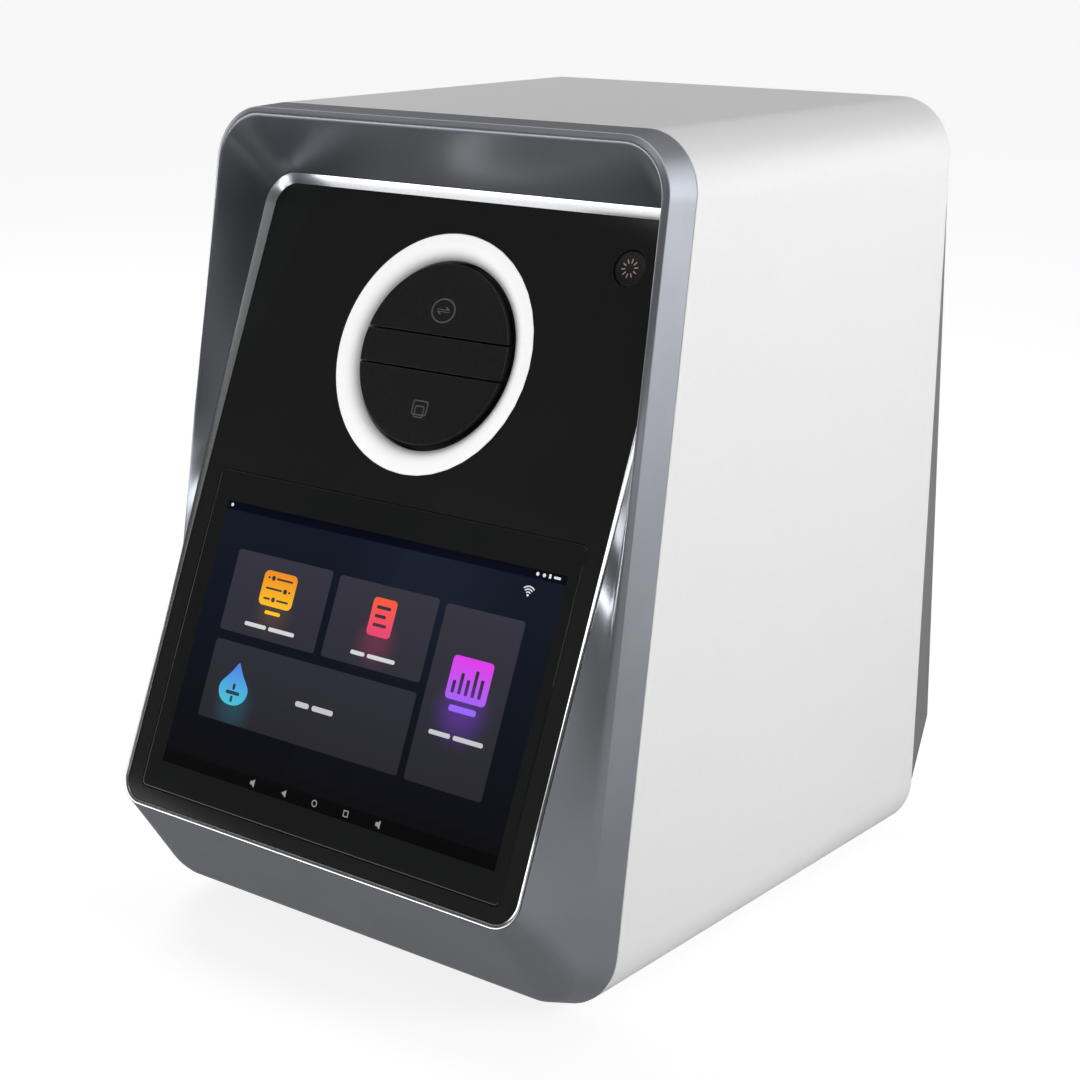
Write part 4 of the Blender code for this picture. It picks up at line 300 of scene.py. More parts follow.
def bezel_section():
    """The bezel's closed section at each point of its outline: joint, crease, crest, seat, ledge, tongue."""
    crease = outline(**CREASE)
    x, z, nx, nz = crease
    fade_z = CASE["bottom"] + (CASE["top"] - CASE["bottom"]) * CREST_FADE
    upper = np.maximum(0, (z - fade_z) / (CREASE["top"] - fade_z))
    lower = np.where(nz < 0, nz * nz, 0)
    inset = CREST_INSET["side"] + CREST_INSET["top"] * upper + CREST_INSET["bottom"] * lower
    forward = CREST_FORWARD["side"] - CREST_FORWARD["top"] * upper - CREST_FORWARD["bottom"] * lower
    y = crease_plane(z - nz * inset) - forward
    crest = np.stack([x - nx * inset, y, z - nz * inset], axis=-1)
    seat = panel_loop(1, SEAM)
    inward = (x - seat[:, 0]) * nx + (z - seat[:, 2]) * nz - inset
    backward = seat[:, 1] - y
    length = np.hypot(inward, backward)
    behind_y = y + ((BEZEL_WALL - inset) * backward + BEZEL_WALL * length) / inward
    behind_y = np.minimum(behind_y, front_joint(z) + TONGUE_LENGTH / 2)
    behind = np.stack([x - nx * BEZEL_WALL, behind_y, z - nz * BEZEL_WALL], axis=-1)
    slope = np.where(backward < 0, -backward, 1)
    limit = (-LEDGE_BACK * inward - BEZEL_WALL * length) / slope
    rooms = np.where(backward < 0, np.minimum(BEZEL_WALL, limit), BEZEL_WALL)
    tongue = case_loop(CASE_WALL + SEAM)
    tongue_inner = case_loop(CASE_WALL + SEAM + TONGUE_WALL)
    corners = [upright(outer, front_joint(outer[1]) - SEAM), upright(crease, crease_plane(z)), crest]
    corners += [crest + (seat - crest) * share for share in (0.2, 0.4, 0.6, 0.8)]
    corners += [seat, panel_loop(1, SEAM, SEAT_DEPTH), panel_loop(1, SEAM - LEDGE_WIDTH, SEAT_DEPTH)]
    corners += [panel_loop(1, SEAM - LEDGE_WIDTH, LEDGE_BACK), panel_loop(1, SEAM, LEDGE_BACK, rooms), behind]
    corners += [upright(tongue_inner, front_joint(tongue_inner[1]) + TONGUE_LENGTH)]
    corners += [upright(tongue, front_joint(tongue[1]) + TONGUE_LENGTH)]
    corners += [upright(tongue, front_joint(tongue[1]) - SEAM)]
    sizes = (SHELL_EDGE, CREASE_ROUND, CREST_ROUND, 0, 0, 0, 0, SEAT_ROUND, 0, 0, 0, 0, 0, 0, 0, 0)
    return rounded(np.stack(corners), sizes)


gunmetal_tones = (tone(166, 169, 177), tone(171, 174, 182))
gunmetal = grained("gunmetal_lacquer", *gunmetal_tones, (0.3, 0.34), 3000, 0.0000003, 0.88)
mount(surface("front_frame", bezel_section()), gunmetal, "housing", "gunmetal_bezel", "front_bezel")

# Trim: a bright anodised strip pressed in round the panel, 2 mm wide at the bottom and nearly 5 mm at the
# top, where it also stands prouder.
TRIM_CROWN = 0.00015
TRIM_INNER_HEIGHT = 0.0002
silver_tones = (tone(236, 238, 242), tone(242, 244, 247))
trim_silver = grained("trim_silver", *silver_tones, (0.18, 0.22), 1800, 0.0000001, 1)
trim_inner = panel_loop(0, 0, TRIM_INNER_HEIGHT)
trim_outer = panel_loop(1, 0)
outward = np.array([0, -cos(LEAN), sin(LEAN)])
trim_section = []
for share in np.linspace(0, 1, 9):
    crown = outward * TRIM_CROWN * 4 * share * (1 - share)
    trim_section.append(trim_inner + (trim_outer - trim_inner) * share + crown)
trim_section += [panel_loop(1, 0, -PANEL_THICKNESS), panel_loop(0, 0, -PANEL_THICKNESS)]
trim = surface("panel_trim", np.stack(trim_section))
mount(trim, trim_silver, "housing", "bright_trim", "trim_ring")


# Front panel: one black plate of glossy acrylic that leans back and is fixed from behind. It keeps the
# frame's own solid, and a faint cloud of noise moves its colour and its gloss.
def keep(finish, slot, *names):
    """Gives CAD nodes that stay in view a finish on their objects' material slots."""
    for name in names:
        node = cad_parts[name]
        for place in node.material_slots:
            place.link = "OBJECT"
            place.material = finish


piano_tones = (tone(42, 43, 42), tone(45, 46, 45))
piano_black = grained("piano_black", *piano_tones, (0.06, 0.08), 1400, 0.000001, cloud=12)
keep(piano_black, "black_gloss", "front_panel")

# Touch display: a dark cover glass with polished edges, flush in the panel, over a lit picture. The picture
# is a deep blue ground, a status bar, a dock, four tiles with glowing symbols and a row of five small marks.
GLASS = {"half_width": 0.117, "bottom": 0.0089, "top": 0.175, "radius": 0.003}
GLASS_FRONT = -0.0001
GLASS_THICKNESS = 0.0019
PICTURE_LIFT = 0.00001
PICTURE_ROUGHNESS = 0.07
DOT_SCALE = 2500
DOT_SWING = 0.06
FLAT_START = 1.8


def plate(name, loop, back, front, edge, place=on_panel):
    """A flat plate inside a loop, its front edge rounded, from the middle of its back to that of its front.

    One more loop, FLAT_START edges in from the rim, keeps the face flat."""
    x, u, nx, nu = loop
    turn = np.linspace(0, pi / 2, 5)
    insets = np.concatenate([[0, 0], edge * (1 - np.cos(turn)), [edge * FLAT_START]])
    heights = np.concatenate([[back, back], front - edge + edge * np.sin(turn), [front]])
    shares = np.concatenate([[0], np.ones(len(insets) - 1), [0]])
    insets = np.append(insets, 0)
    heights = np.append(heights, front)
    middle = (x.mean(), u.mean())
    across = middle[0] + (x - nx * insets[:, None] - middle[0]) * shares[:, None]
    up = middle[1] + (u - nu * insets[:, None] - middle[1]) * shares[:, None]
    return surface(name, place(across, up, heights[:, None]), closed_rows=False)


def glow(name, low_tone, high_tone, low_u, high_u, halos=()):
    """A lit picture under glass, whose light runs from one tone to another up the panel.

    Halos, each a centre on the panel, a reach and a tone, fade out over it, and a faint grain of picture dots
    moves its light a little."""
    material = bpy.data.materials.new(name)
    material.use_nodes = True
    nodes = material.node_tree.nodes
    links = material.node_tree.links
    shader = nodes["Principled BSDF"]
    shader.inputs["Base Color"].default_value = tone(3, 3, 4)
    shader.inputs["Roughness"].default_value = PICTURE_ROUGHNESS
    shader.inputs["Emission Strength"].default_value = 1
    where = nodes.new("ShaderNodeTexCoord")
    up = nodes.new("ShaderNodeVectorMath")
    up.operation = "DOT_PRODUCT"
    up.inputs[1].default_value = (0, sin(LEAN), cos(LEAN))
    links.new(where.outputs["Object"], up.inputs[0])
    zero = float(ORIGIN @ np.array([0, sin(LEAN), cos(LEAN)]))
    run = nodes.new("ShaderNodeMapRange")
    run.inputs["From Min"].default_value = zero + low_u
    run.inputs["From Max"].default_value = zero + high_u
    links.new(up.outputs["Value"], run.inputs["Value"])
    colour = nodes.new("ShaderNodeMix")
    colour.data_type = "RGBA"
    colour.inputs[6].default_value = low_tone
    colour.inputs[7].default_value = high_tone
    links.new(run.outputs["Result"], colour.inputs[0])
    light = colour.outputs[2]
    for (x, u), reach, halo_tone in halos:
        near = nodes.new("ShaderNodeVectorMath")
        near.operation = "DISTANCE"
        near.inputs[1].default_value = on_panel(x, u, GLASS_FRONT) + ORIGIN
        links.new(where.outputs["Object"], near.inputs[0])
        fade = nodes.new("ShaderNodeMapRange")
        fade.interpolation_type = "SMOOTHERSTEP"
        fade.inputs["From Max"].default_value = reach
        fade.inputs["To Min"].default_value = 1
        fade.inputs["To Max"].default_value = 0
        links.new(near.outputs["Value"], fade.inputs["Value"])
        add = nodes.new("ShaderNodeMix")
        add.data_type = "RGBA"
        add.blend_type = "ADD"
        add.inputs[7].default_value = halo_tone
        links.new(fade.outputs["Result"], add.inputs[0])
        links.new(light, add.inputs[6])
        light = add.outputs[2]
    dots = nodes.new("ShaderNodeTexNoise")
    dots.inputs["Scale"].default_value = DOT_SCALE
    links.new(where.outputs["Object"], dots.inputs["Vector"])
    dim = nodes.new("ShaderNodeMapRange")
    dim.inputs["To Min"].default_value = 1 - DOT_SWING
    dim.inputs["To Max"].default_value = 1 + DOT_SWING
    links.new(dots.outputs["Fac"], dim.inputs["Value"])
    mixed = nodes.new("ShaderNodeVectorMath")
    mixed.operation = "SCALE"
    links.new(light, mixed.inputs[0])
    links.new(dim.outputs["Result"], mixed.inputs["Scale"])
    links.new(mixed.outputs["Vector"], shader.inputs["Emission Color"])
    return material


def box_loop(low_x, low_u, high_x, high_u, radius):
    """A rounded rectangle on the panel between two corners."""
    loop = outline((high_x - low_x) / 2, low_u, high_u, radius, 6, 4)
    loop[0] += (low_x + high_x) / 2
    return loop


def drawn(name, splines, level, thickness=0.00002, place=on_panel):
    """Flat shapes with holes: closed outlines of (x, u) filled as a flat curve and laid at a face's level."""
    curve = bpy.data.curves.new(name, "CURVE")
    curve.dimensions = "2D"
    curve.fill_mode = "BOTH"
    curve.extrude = thickness / 2
    for points in splines:
        spline = curve.splines.new("POLY")
        spline.points.add(len(points) - 1)
        flat_points = np.column_stack([points, np.zeros(len(points)), np.ones(len(points))])
        spline.points.foreach_set("co", flat_points.ravel())
        spline.use_cyclic_u = True
    holder = bpy.data.objects.new(name, curve)
    bpy.context.scene.collection.objects.link(holder)
    flat = holder.evaluated_get(bpy.context.evaluated_depsgraph_get())
    mesh = bpy.data.meshes.new_from_object(flat)
    bpy.data.objects.remove(holder)
    mesh.name = name
    points = np.zeros(len(mesh.vertices) * 3)
    mesh.vertices.foreach_get("co", points)
    x, u, h = points.reshape(-1, 3).T
    mesh.vertices.foreach_set("co", (place(x, u, level + h) + ORIGIN).ravel())
    return closed(mesh)


def ring_of(x, u, radius, steps=32, start=0.0, span=2 * pi):
    """Points of a circle or an arc on the panel."""
    angle = start + np.linspace(0, span, steps, endpoint=span < 2 * pi)
    return np.column_stack([x + radius * np.cos(angle), u + radius * np.sin(angle)])


def bar(low_x, low_u, high_x, high_u, radius):
    """A rounded bar as an outline of (x, u)."""
    return box_loop(low_x, low_u, high_x, high_u, radius)[:2].T


glass_black = grained("glass_black", tone(37, 38, 38), tone(40, 41, 41), (0.03, 0.05), 900, 0.000001, cloud=8)
glass = plate("cover_glass", outline(**GLASS), GLASS_FRONT - GLASS_THICKNESS, GLASS_FRONT, 0.0005)
mount(glass, glass_black, "housing", "screen_glass", "display_glass")

blue_halo = ((0.03, 0.145), 0.07, tone(9, 14, 24))
ground = glow("screen_ground", tone(9, 9, 15), tone(17, 23, 36), 0.03, 0.15, [blue_halo])
status = glow("status_navy", tone(4, 6, 26), tone(2, 3, 16), 0.155, 0.16)
dock = glow("dock_black", tone(2, 2, 2), tone(4, 4, 5), 0.0236, 0.03)
layers = [
    ("screen_ground", (-0.1067, 0.0237, 0.1104, 0.1595, 0.0004), ground),
    ("screen_status_bar", (-0.1067, 0.1553, 0.1104, 0.1596, 0.0003), status),
    ("screen_dock", (-0.1067, 0.0236, 0.1104, 0.0304, 0.0003), dock),
]
TILE_LOW = tone(38, 38, 44)
TILE_HIGH = tone(57, 56, 68)
TILE_RADIUS = 0.0016
tile_places = {
    "screen_tile_settings": ((-0.091, 0.0957, -0.0262, 0.137), [((-0.0585, 0.1105), 0.017, tone(60, 38, 8))]),
    "screen_tile_list": ((-0.0213, 0.0957, 0.0422, 0.1362), [((0.0105, 0.1085), 0.017, tone(86, 12, 36))]),
    "screen_tile_wide": ((-0.091, 0.0512, 0.0424, 0.0909), [((-0.069, 0.0600), 0.018, tone(6, 56, 70))]),
    "screen_tile_tall": ((0.0468, 0.0509, 0.0938, 0.1352), [((0.0705, 0.0880), 0.022, tone(70, 22, 120))]),
}
for name, (place, halos) in tile_places.items():
    light = glow(name + "_light", TILE_LOW, TILE_HIGH, 0.045, 0.16, halos)
    layers.append((name, (*place, TILE_RADIUS), light))
for order, (name, corners, light) in enumerate(layers):
    level = GLASS_FRONT + PICTURE_LIFT * (1 if order == 0 else 2)
    mesh = plate(name, box_loop(*corners), level - PICTURE_LIFT, level, PICTURE_LIFT / 4)
    mount(mesh, light, "housing", "screen_glass")

MARK_LEVEL = GLASS_FRONT + PICTURE_LIFT * 3
sliders = [bar(-0.0700, 0.1125, -0.0475, 0.1300, 0.0030)]
for row, knob in ((0.1265, -0.0635), (0.1212, -0.0540), (0.1160, -0.0605)):
    sliders.append(bar(-0.0672, row - 0.0005, knob - 0.0022, row + 0.0005, 0.0004))
    sliders.append(bar(knob + 0.0022, row - 0.0005, -0.0503, row + 0.0005, 0.0004))
    sliders.append(ring_of(knob, row, 0.0013, 16))
sliders.append(bar(-0.0640, 0.1085, -0.0535, 0.1103, 0.0008))
sheet = [bar(0.0030, 0.1115, 0.0180, 0.1300, 0.0022)]
for row, width in ((0.1255, 0.0090), (0.1212, 0.0070), (0.1169, 0.0085)):
    sheet.append(bar(0.0058, row - 0.0008, 0.0058 + width, row + 0.0008, 0.0007))
angle = np.linspace(0, 2 * pi, 48, endpoint=False)
drop_radius = 0.0088 * (1 - 0.12 * np.cos(2 * angle - pi))
drop_u = 0.0680 + drop_radius * np.sin(angle) * np.where(np.sin(angle) > 0, 1 + 0.75 * np.sin(angle) ** 3, 1)
drop_x = -0.0715 + drop_radius * np.cos(angle) * np.where(np.sin(angle) > 0, 1 - 0.62 * np.sin(angle) ** 2, 1)
drop = [np.column_stack([drop_x, drop_u]), bar(-0.0762, 0.0655, -0.0668, 0.0673, 0.0008)]
drop += [bar(-0.0724, 0.0617, -0.0706, 0.0649, 0.0008), bar(-0.0724, 0.0679, -0.0706, 0.0711, 0.0008)]
chart = [bar(0.0585, 0.0925, 0.0827, 0.1130, 0.0022), bar(0.0625, 0.0872, 0.0787, 0.0902, 0.0012)]
columns = ((0.0622, 0.0060), (0.0662, 0.0100), (0.0702, 0.0075), (0.0742, 0.0125), (0.0782, 0.0090))
for column, height in columns:
    chart.append(bar(column - 0.0010, 0.0955, column + 0.0010, 0.0955 + height, 0.0006))
symbols = {
    "symbol_sliders": (sliders, tone(255, 200, 40), tone(238, 140, 34), 0.1085, 0.130),
    "symbol_sheet": (sheet, tone(232, 70, 120), tone(250, 92, 54), 0.1115, 0.130),
    "symbol_drop": (drop, tone(70, 196, 214), tone(84, 132, 232), 0.060, 0.080),
    "symbol_chart": (chart, tone(150, 104, 250), tone(226, 60, 232), 0.088, 0.113),
}
for name, (splines, low_tone, high_tone, low_u, high_u) in symbols.items():
    symbol = drawn(name, splines, MARK_LEVEL)
    mount(symbol, glow(name + "_light", low_tone, high_tone, low_u, high_u), "housing", "screen_glass")
words = [bar(-0.0752, 0.1006, -0.0605, 0.1026, 0.0009), bar(-0.0588, 0.1006, -0.0412, 0.1026, 0.0009)]
words += [bar(-0.0035, 0.1006, 0.0055, 0.1026, 0.0009), bar(0.0072, 0.1006, 0.0248, 0.1026, 0.0009)]
words += [bar(-0.0295, 0.0690, -0.0205, 0.0716, 0.0012), bar(-0.0185, 0.0690, -0.0046, 0.0716, 0.0012)]
words += [bar(0.0545, 0.0745, 0.0675, 0.0767, 0.0010), bar(0.0692, 0.0745, 0.0871, 0.0767, 0.0010)]
word_grey = glow("word_grey", tone(196, 196, 200), tone(214, 214, 218), 0.07, 0.105)
mount(drawn("screen_word_bars", words, MARK_LEVEL), word_grey, "housing", "screen_glass")
horn = [[-0.0016, 0.0262], [-0.0004, 0.0262], [0.0012, 0.0250]]
horn += [[0.0012, 0.0292], [-0.0004, 0.0280], [-0.0016, 0.0280]]
marks = [np.array(horn) + (x, 0) for x in (-0.0436, 0.0390)]
marks.append(np.array([[-0.0240, 0.0271], [-0.0210, 0.0253], [-0.0210, 0.0289]]))
marks += [ring_of(-0.0020, 0.0271, 0.0017, 20), ring_of(-0.0020, 0.0271, 0.0012, 20)]
marks += [bar(0.0168, 0.0255, 0.0200, 0.0287, 0.0004), bar(0.0173, 0.0260, 0.0195, 0.0282, 0.0002)]
marks += [ring_of(-0.1036, 0.1577, 0.0009, 12)]
marks += [ring_of(x, 0.1577, 0.0009, 12) for x in (0.0936, 0.0974)]
marks += [bar(0.1001, 0.1568, 0.1014, 0.1588, 0.0003), bar(0.1030, 0.1571, 0.1068, 0.1583, 0.0004)]
for low, high in ((0.0014, 0.0020), (0.0027, 0.0033), (0.0040, 0.0046)):
    fan_low = ring_of(0.0909, 0.1470, low, 12, pi / 4, pi / 2)
    fan_high = ring_of(0.0909, 0.1470, high, 12, pi / 4, pi / 2)
    marks.append(np.concatenate([fan_low, fan_high[::-1]]))
marks.append(ring_of(0.0909, 0.1472, 0.0006, 12))
mark_grey = glow("mark_grey", tone(150, 150, 155), tone(226, 226, 230), 0.03, 0.15)
mount(drawn("screen_marks", marks, MARK_LEVEL), mark_grey, "housing", "screen_glass")

# Light ring: a milky diffuser moulding, dished towards the pad and lit from behind by a ring of lamps, so
# that it is white on its broad face. Painted shade dims its glow with depth, into the gap round the pad.
RING_U = 0.2497
RING_RADIUS = 0.0597
RING_INNER = 0.0472
RING_LEVEL_SHARE = 0.2
RING_DEPTH = 0.0036
RING_BEND = 1.9
RING_BACK = -0.008
FLANGE_RADIUS = 0.063
FLANGE_FACE = -0.0033
LAMP_CHANNEL = {"inner": 0.0495, "outer": 0.061, "floor": -0.0055}
# The depth over which the ring's glow fades out: painted shade down into the gap round the pad.
PAINTED_SHADE_DEPTH = 0.0040


def on_ring(x, y, h):
    """A point of the ring's frame, whose zero is the ring's middle on the panel's face."""
    return on_panel(x, RING_U + y, h)


def lathe(name, profile, place, steps=96, closed_rows=False, sharp=38):
    """A turned piece: point (r, h) of the profile at angle a goes to place(r cos a, r sin a, h)."""
    radius, height = np.array(profile).T[:, :, None]
    angle = np.linspace(0, 2 * pi, steps, endpoint=False)
    return surface(name, place(radius * np.cos(angle), radius * np.sin(angle), height), closed_rows, sharp)


share = np.linspace(0, 1, 28)
sunk = np.clip((share - RING_LEVEL_SHARE) / (1 - RING_LEVEL_SHARE), 0, 1)
dish_rim = RING_RADIUS - 0.0002
dish_radius = dish_rim - (dish_rim - RING_INNER) * share
dish = np.column_stack([dish_radius, -0.0001 - RING_DEPTH * sunk**RING_BEND])
ring_rim = [[RING_RADIUS, FLANGE_FACE], [RING_RADIUS, -0.0003], [RING_RADIUS - 0.0001, -0.00015]]
ring_back = [
    [RING_INNER, RING_BACK],
    [LAMP_CHANNEL["inner"], RING_BACK],
    [LAMP_CHANNEL["inner"], LAMP_CHANNEL["floor"]],
    [LAMP_CHANNEL["outer"], LAMP_CHANNEL["floor"]],
    [LAMP_CHANNEL["outer"], RING_BACK],
    [FLANGE_RADIUS, RING_BACK],
    [FLANGE_RADIUS, FLANGE_FACE],
]
ring_profile = np.concatenate([ring_rim, dish, ring_back])


def diffuser_with_painted_shade(name):
    """Lit milky plastic whose glow is dimmed with depth below the panel: painted shade down into the gap."""
    material = grained(name, tone(236, 236, 236), tone(242, 242, 242), (0.35, 0.45), 1500, 0.000004)
    nodes = material.node_tree.nodes
    links = material.node_tree.links
    where = nodes.new("ShaderNodeTexCoord")
    depth = nodes.new("ShaderNodeVectorMath")
    depth.operation = "DOT_PRODUCT"
    depth.inputs[1].default_value = (0, -cos(LEAN), sin(LEAN))
    links.new(where.outputs["Object"], depth.inputs[0])
    zero = float(ORIGIN @ np.array([0, -cos(LEAN), sin(LEAN)]))
    run = nodes.new("ShaderNodeMapRange")
    run.inputs["From Min"].default_value = zero - PAINTED_SHADE_DEPTH
    run.inputs["From Max"].default_value = zero
    links.new(depth.outputs["Value"], run.inputs["Value"])
    # Painted shade: the glow runs from full at the panel's face to almost none 4 mm below it.
    ramp = nodes.new("ShaderNodeValToRGB")
    ramp.color_ramp.interpolation = "EASE"
    ramp.color_ramp.elements[0].position = 0
    ramp.color_ramp.elements[0].color = (0.01, 0.01, 0.01, 1)
    ramp.color_ramp.elements[1].position = 1
    ramp.color_ramp.elements[1].color = (0.6, 0.6, 0.6, 1)
    links.new(run.outputs["Result"], ramp.inputs["Fac"])
    links.new(ramp.outputs["Color"], shader_of(material).inputs["Emission Color"])
    shader_of(material).inputs["Emission Strength"].default_value = 1
    return material


ring = lathe("light_diffuser", ring_profile, on_ring, 144, closed_rows=True)
mount(ring, diffuser_with_painted_shade("milky_diffuser_painted_shade"), "housing", "ring_white", "light_ring")

# Key pad: two satin black touch keys and between them the front of the cartridge tray, cut from one round
# face by two level grooves. Their edges are broken by a quarter of a millimetre.
PAD_RADIUS = 0.0449
PAD_FRONT = -0.0003
PAD_EDGE = 0.00025
BAND_HALF = 0.00765
GROOVE = 0.0009
KEY_BACK = -0.0033
BAND_BACK = -0.0043
TRAY_TONGUE = (-0.030, 0.22285, 0.030, 0.23185, 0.0008)
TRAY_TONGUE_ENDS = (-0.1061, -0.1003)


def pad_slice(name, low_z, high_z, back):
    """The part of the round pad between two level planes.

    Its outline at depth h runs round the right arc, along the upper chord, the left arc and the lower chord.
    A level plane z cuts the face at u = (z - h sin) / cos."""
    turn = np.linspace(0, pi / 2, 5)
    insets = np.concatenate([[0, 0], PAD_EDGE * (1 - np.cos(turn)), [PAD_EDGE * FLAT_START, 0]])
    edge_heights = PAD_FRONT - PAD_EDGE + PAD_EDGE * np.sin(turn)
    heights = np.concatenate([[back, back], edge_heights, [PAD_FRONT, PAD_FRONT]])
    rows = []
    for index, (inset, h) in enumerate(zip(insets, heights)):
        radius = PAD_RADIUS - inset
        ends = []
        for z, sign in ((low_z, 1), (high_z, -1)):
            u = sign * -radius if z is None else (z - h * sin(LEAN)) / cos(LEAN) + sign * inset
            ends.append(np.arcsin(np.clip(u / radius, -1, 1)))
        rise = ends[0] + (ends[1] - ends[0]) * np.linspace(0, 1, 40)
        right = np.column_stack([radius * np.cos(rise), radius * np.sin(rise)])
        left = right[::-1] * (-1, 1)
        chord = np.linspace(1, -1, 12)[1:-1, None]
        top = np.column_stack([chord * right[-1, 0], np.full(len(chord), right[-1, 1])])
        foot = np.column_stack([-chord * right[0, 0], np.full(len(chord), right[0, 1])])
        loop = np.concatenate([right, top, left, foot])
        if index in (0, len(insets) - 1):
            loop = np.broadcast_to(loop.mean(axis=0), loop.shape)
        rows.append(on_ring(loop[:, 0], loop[:, 1], h))
    return surface(name, np.stack(rows), closed_rows=False)


def on_tray(x, z, h):
    """A point of the tray's level frame: z up, h towards the front."""
    return points_of(x, -h, z)


satin_tones = (tone(28, 28, 29), tone(31, 31, 32))
satin_black = grained("satin_black", *satin_tones, (0.26, 0.34), 2200, 0.000003, cloud=20)
edge_z = BAND_HALF + GROOVE
for name, low_z, high_z, back, body, node in (
    ("key_upper", edge_z, None, KEY_BACK, "upper_key_body", "upper_key"),
    ("key_lower", None, -edge_z, KEY_BACK, "lower_key_body", "lower_key"),
    ("tray_band", -BAND_HALF, BAND_HALF, BAND_BACK, "tray", "tray_front"),
):
    mount(pad_slice(name, low_z, high_z, back), satin_black, body, "key_black", node)
tongue = plate("tray_tongue", box_loop(*TRAY_TONGUE), *TRAY_TONGUE_ENDS, 0.0003, on_tray)
mount(tongue, satin_black, "tray", "key_black")

ICON_LEVEL = PAD_FRONT + PICTURE_LIFT
SWAP_SQUASH = (1, 0.82)
SWAP_CENTRE = (0.0004, 0.2712)
printed_grey = grained("printed_grey", tone(104, 104, 104), tone(122, 122, 122), (0.4, 0.5), 1500, 0.000002)
swap = [ring_of(0, 0, 0.0075, 48), ring_of(0, 0, 0.0066, 48)]
arrow = [[-0.0040, 0.0009], [0.0022, 0.0009], [0.0010, 0.0024]]
arrow += [[0.0020, 0.0024], [0.0042, 0.0004], [-0.0040, 0.0004]]
swap += [np.array(arrow), -np.array(arrow)]
swap = [points * SWAP_SQUASH + SWAP_CENTRE for points in swap]
mount(drawn("key_upper_symbol", swap, ICON_LEVEL), printed_grey, "upper_key_body", "key_black")
cartridge = [bar(-0.0038, 0.2192, 0.0057, 0.2266, 0.0014), bar(-0.0032, 0.2198, 0.0051, 0.2260, 0.0009)]
cartridge += [bar(-0.0020, 0.2180, 0.0039, 0.2240, 0.0010), bar(-0.0014, 0.2186, 0.0033, 0.2234, 0.0006)]
symbol = drawn("key_lower_symbol", cartridge[:2], ICON_LEVEL)
mount(symbol, printed_grey, "lower_key_body", "key_black")
symbol_front = drawn("key_lower_symbol_front", cartridge[2:], ICON_LEVEL + PICTURE_LIFT)
mount(symbol_front, printed_grey, "lower_key_body", "key_black")

# Power button: a satin black cap, slightly crowned, on a stem in a round hole at the panel's upper right,
# with a sunburst of ten lit rays.
BUTTON = (0.102, 0.3025)
BUTTON_RADIUS = 0.0084
CAP_EDGE = 0.0005
CAP_CROWN = 0.0003
CAP_BACK = -0.005
STEM_RADIUS = 0.004
STEM_END = -0.0102
RAY_COUNT = 10
FIRST_RAY = 0.15
RAY_LEVEL = -0.00024


def on_button(x, y, h):
    """A point of the button's frame on the panel."""
    return on_panel(BUTTON[0] + x, BUTTON[1] + y, h)


turn = np.linspace(0, pi / 2, 6)
crown_height = -0.0002 - CAP_CROWN * np.linspace(0, 1, 12) ** 2
crown = np.column_stack([np.linspace(0, BUTTON_RADIUS - 0.0006, 12), crown_height])
edge_radius = BUTTON_RADIUS - CAP_EDGE + CAP_EDGE * np.sin(turn)
cap_edge = np.column_stack([edge_radius, -0.001 + CAP_EDGE * np.cos(turn)])
stem = [[BUTTON_RADIUS, CAP_BACK], [STEM_RADIUS, CAP_BACK], [STEM_RADIUS, STEM_END], [0, STEM_END]]
cap = np.concatenate([crown, cap_edge, stem])
mount(lathe("power_cap", cap, on_button, 64), satin_black, "button_body", "key_black", "power_button")
rays = []
for angle in np.arange(RAY_COUNT) * 2 * pi / RAY_COUNT + FIRST_RAY:
    ray = bar(0.0023, -0.00028, 0.0046, 0.00028, 0.00026)
    across = np.array([[cos(angle), sin(angle)], [-sin(angle), cos(angle)]])
    rays.append(ray @ across)
sunburst = drawn("power_sunburst", rays, RAY_LEVEL, place=on_button)
sunburst_light = glow("sunburst_light", tone(138, 104, 98), tone(164, 130, 124), 0.29, 0.31)
mount(sunburst, sunburst_light, "button_body", "key_black")

# Feet: four turned feet of black rubber with a small groove round them, each on a pin that goes up through
# the case's floor.
FOOT_PLACES = [(side * 0.092, depth) for depth in (0.095, 0.300) for side in (-1, 1)]
foot = [[0, 0], [0.0086, 0], [0.009, 0.0003], [0.0094, 0.0014], [0.0092, 0.0018], [0.0097, 0.0022]]
foot += [[0.01, 0.003], [0.01, 0.0045], [0.0098, 0.0047], [0.0035, 0.0047], [0.0035, 0.0101], [0, 0.0101]]
rubber = grained("black_rubber", tone(30, 30, 30), tone(40, 40, 40), (0.7, 0.85), 1200, 0.00003)
for number, (foot_x, foot_y) in enumerate(FOOT_PLACES, 1):

    def on_bench(x, y, h):
        """A point of the foot's frame, which stands on the bench."""
        return points_of(foot_x + x, foot_y + y, h - ORIGIN[2])

    mesh = lathe("rubber_foot_%d" % number, foot, on_bench, 40)
    mount(mesh, rubber, "housing", "rubber", "foot_%d" % number)


# Rear cover: a dished moulding in fine-textured grey plastic, with a ring grille for the fan, a stack of
# vents and the openings for the sockets. Its edges and slots are broken.
def refined(node, name, width, angle=30, sharp=30):
    """A copy of a CAD node's mesh, welded, its flat faces joined and its edges above an angle rounded."""
    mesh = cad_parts[node].data.copy()
    mesh.name = name
    shape = bmesh.new()
    shape.from_mesh(mesh)
    bmesh.ops.remove_doubles(shape, verts=shape.verts, dist=1e-6)
    bmesh.ops.dissolve_limit(shape, angle_limit=radians(1), verts=shape.verts, edges=shape.edges)
    edges = [edge for edge in shape.edges if edge.is_manifold and edge.calc_face_angle(0) > radians(angle)]
    if width:
        cut = {"offset": width, "segments": 2, "profile": 0.5, "affect": "EDGES", "clamp_overlap": True}
        bmesh.ops.bevel(shape, geom=edges, **cut)
    bmesh.ops.triangulate(shape, faces=[face for face in shape.faces if len(face.verts) > 4])
    shape.to_mesh(mesh)
    shape.free()
    mesh.shade_smooth()
    mesh.set_sharp_from_angle(angle=radians(sharp))
    return mesh


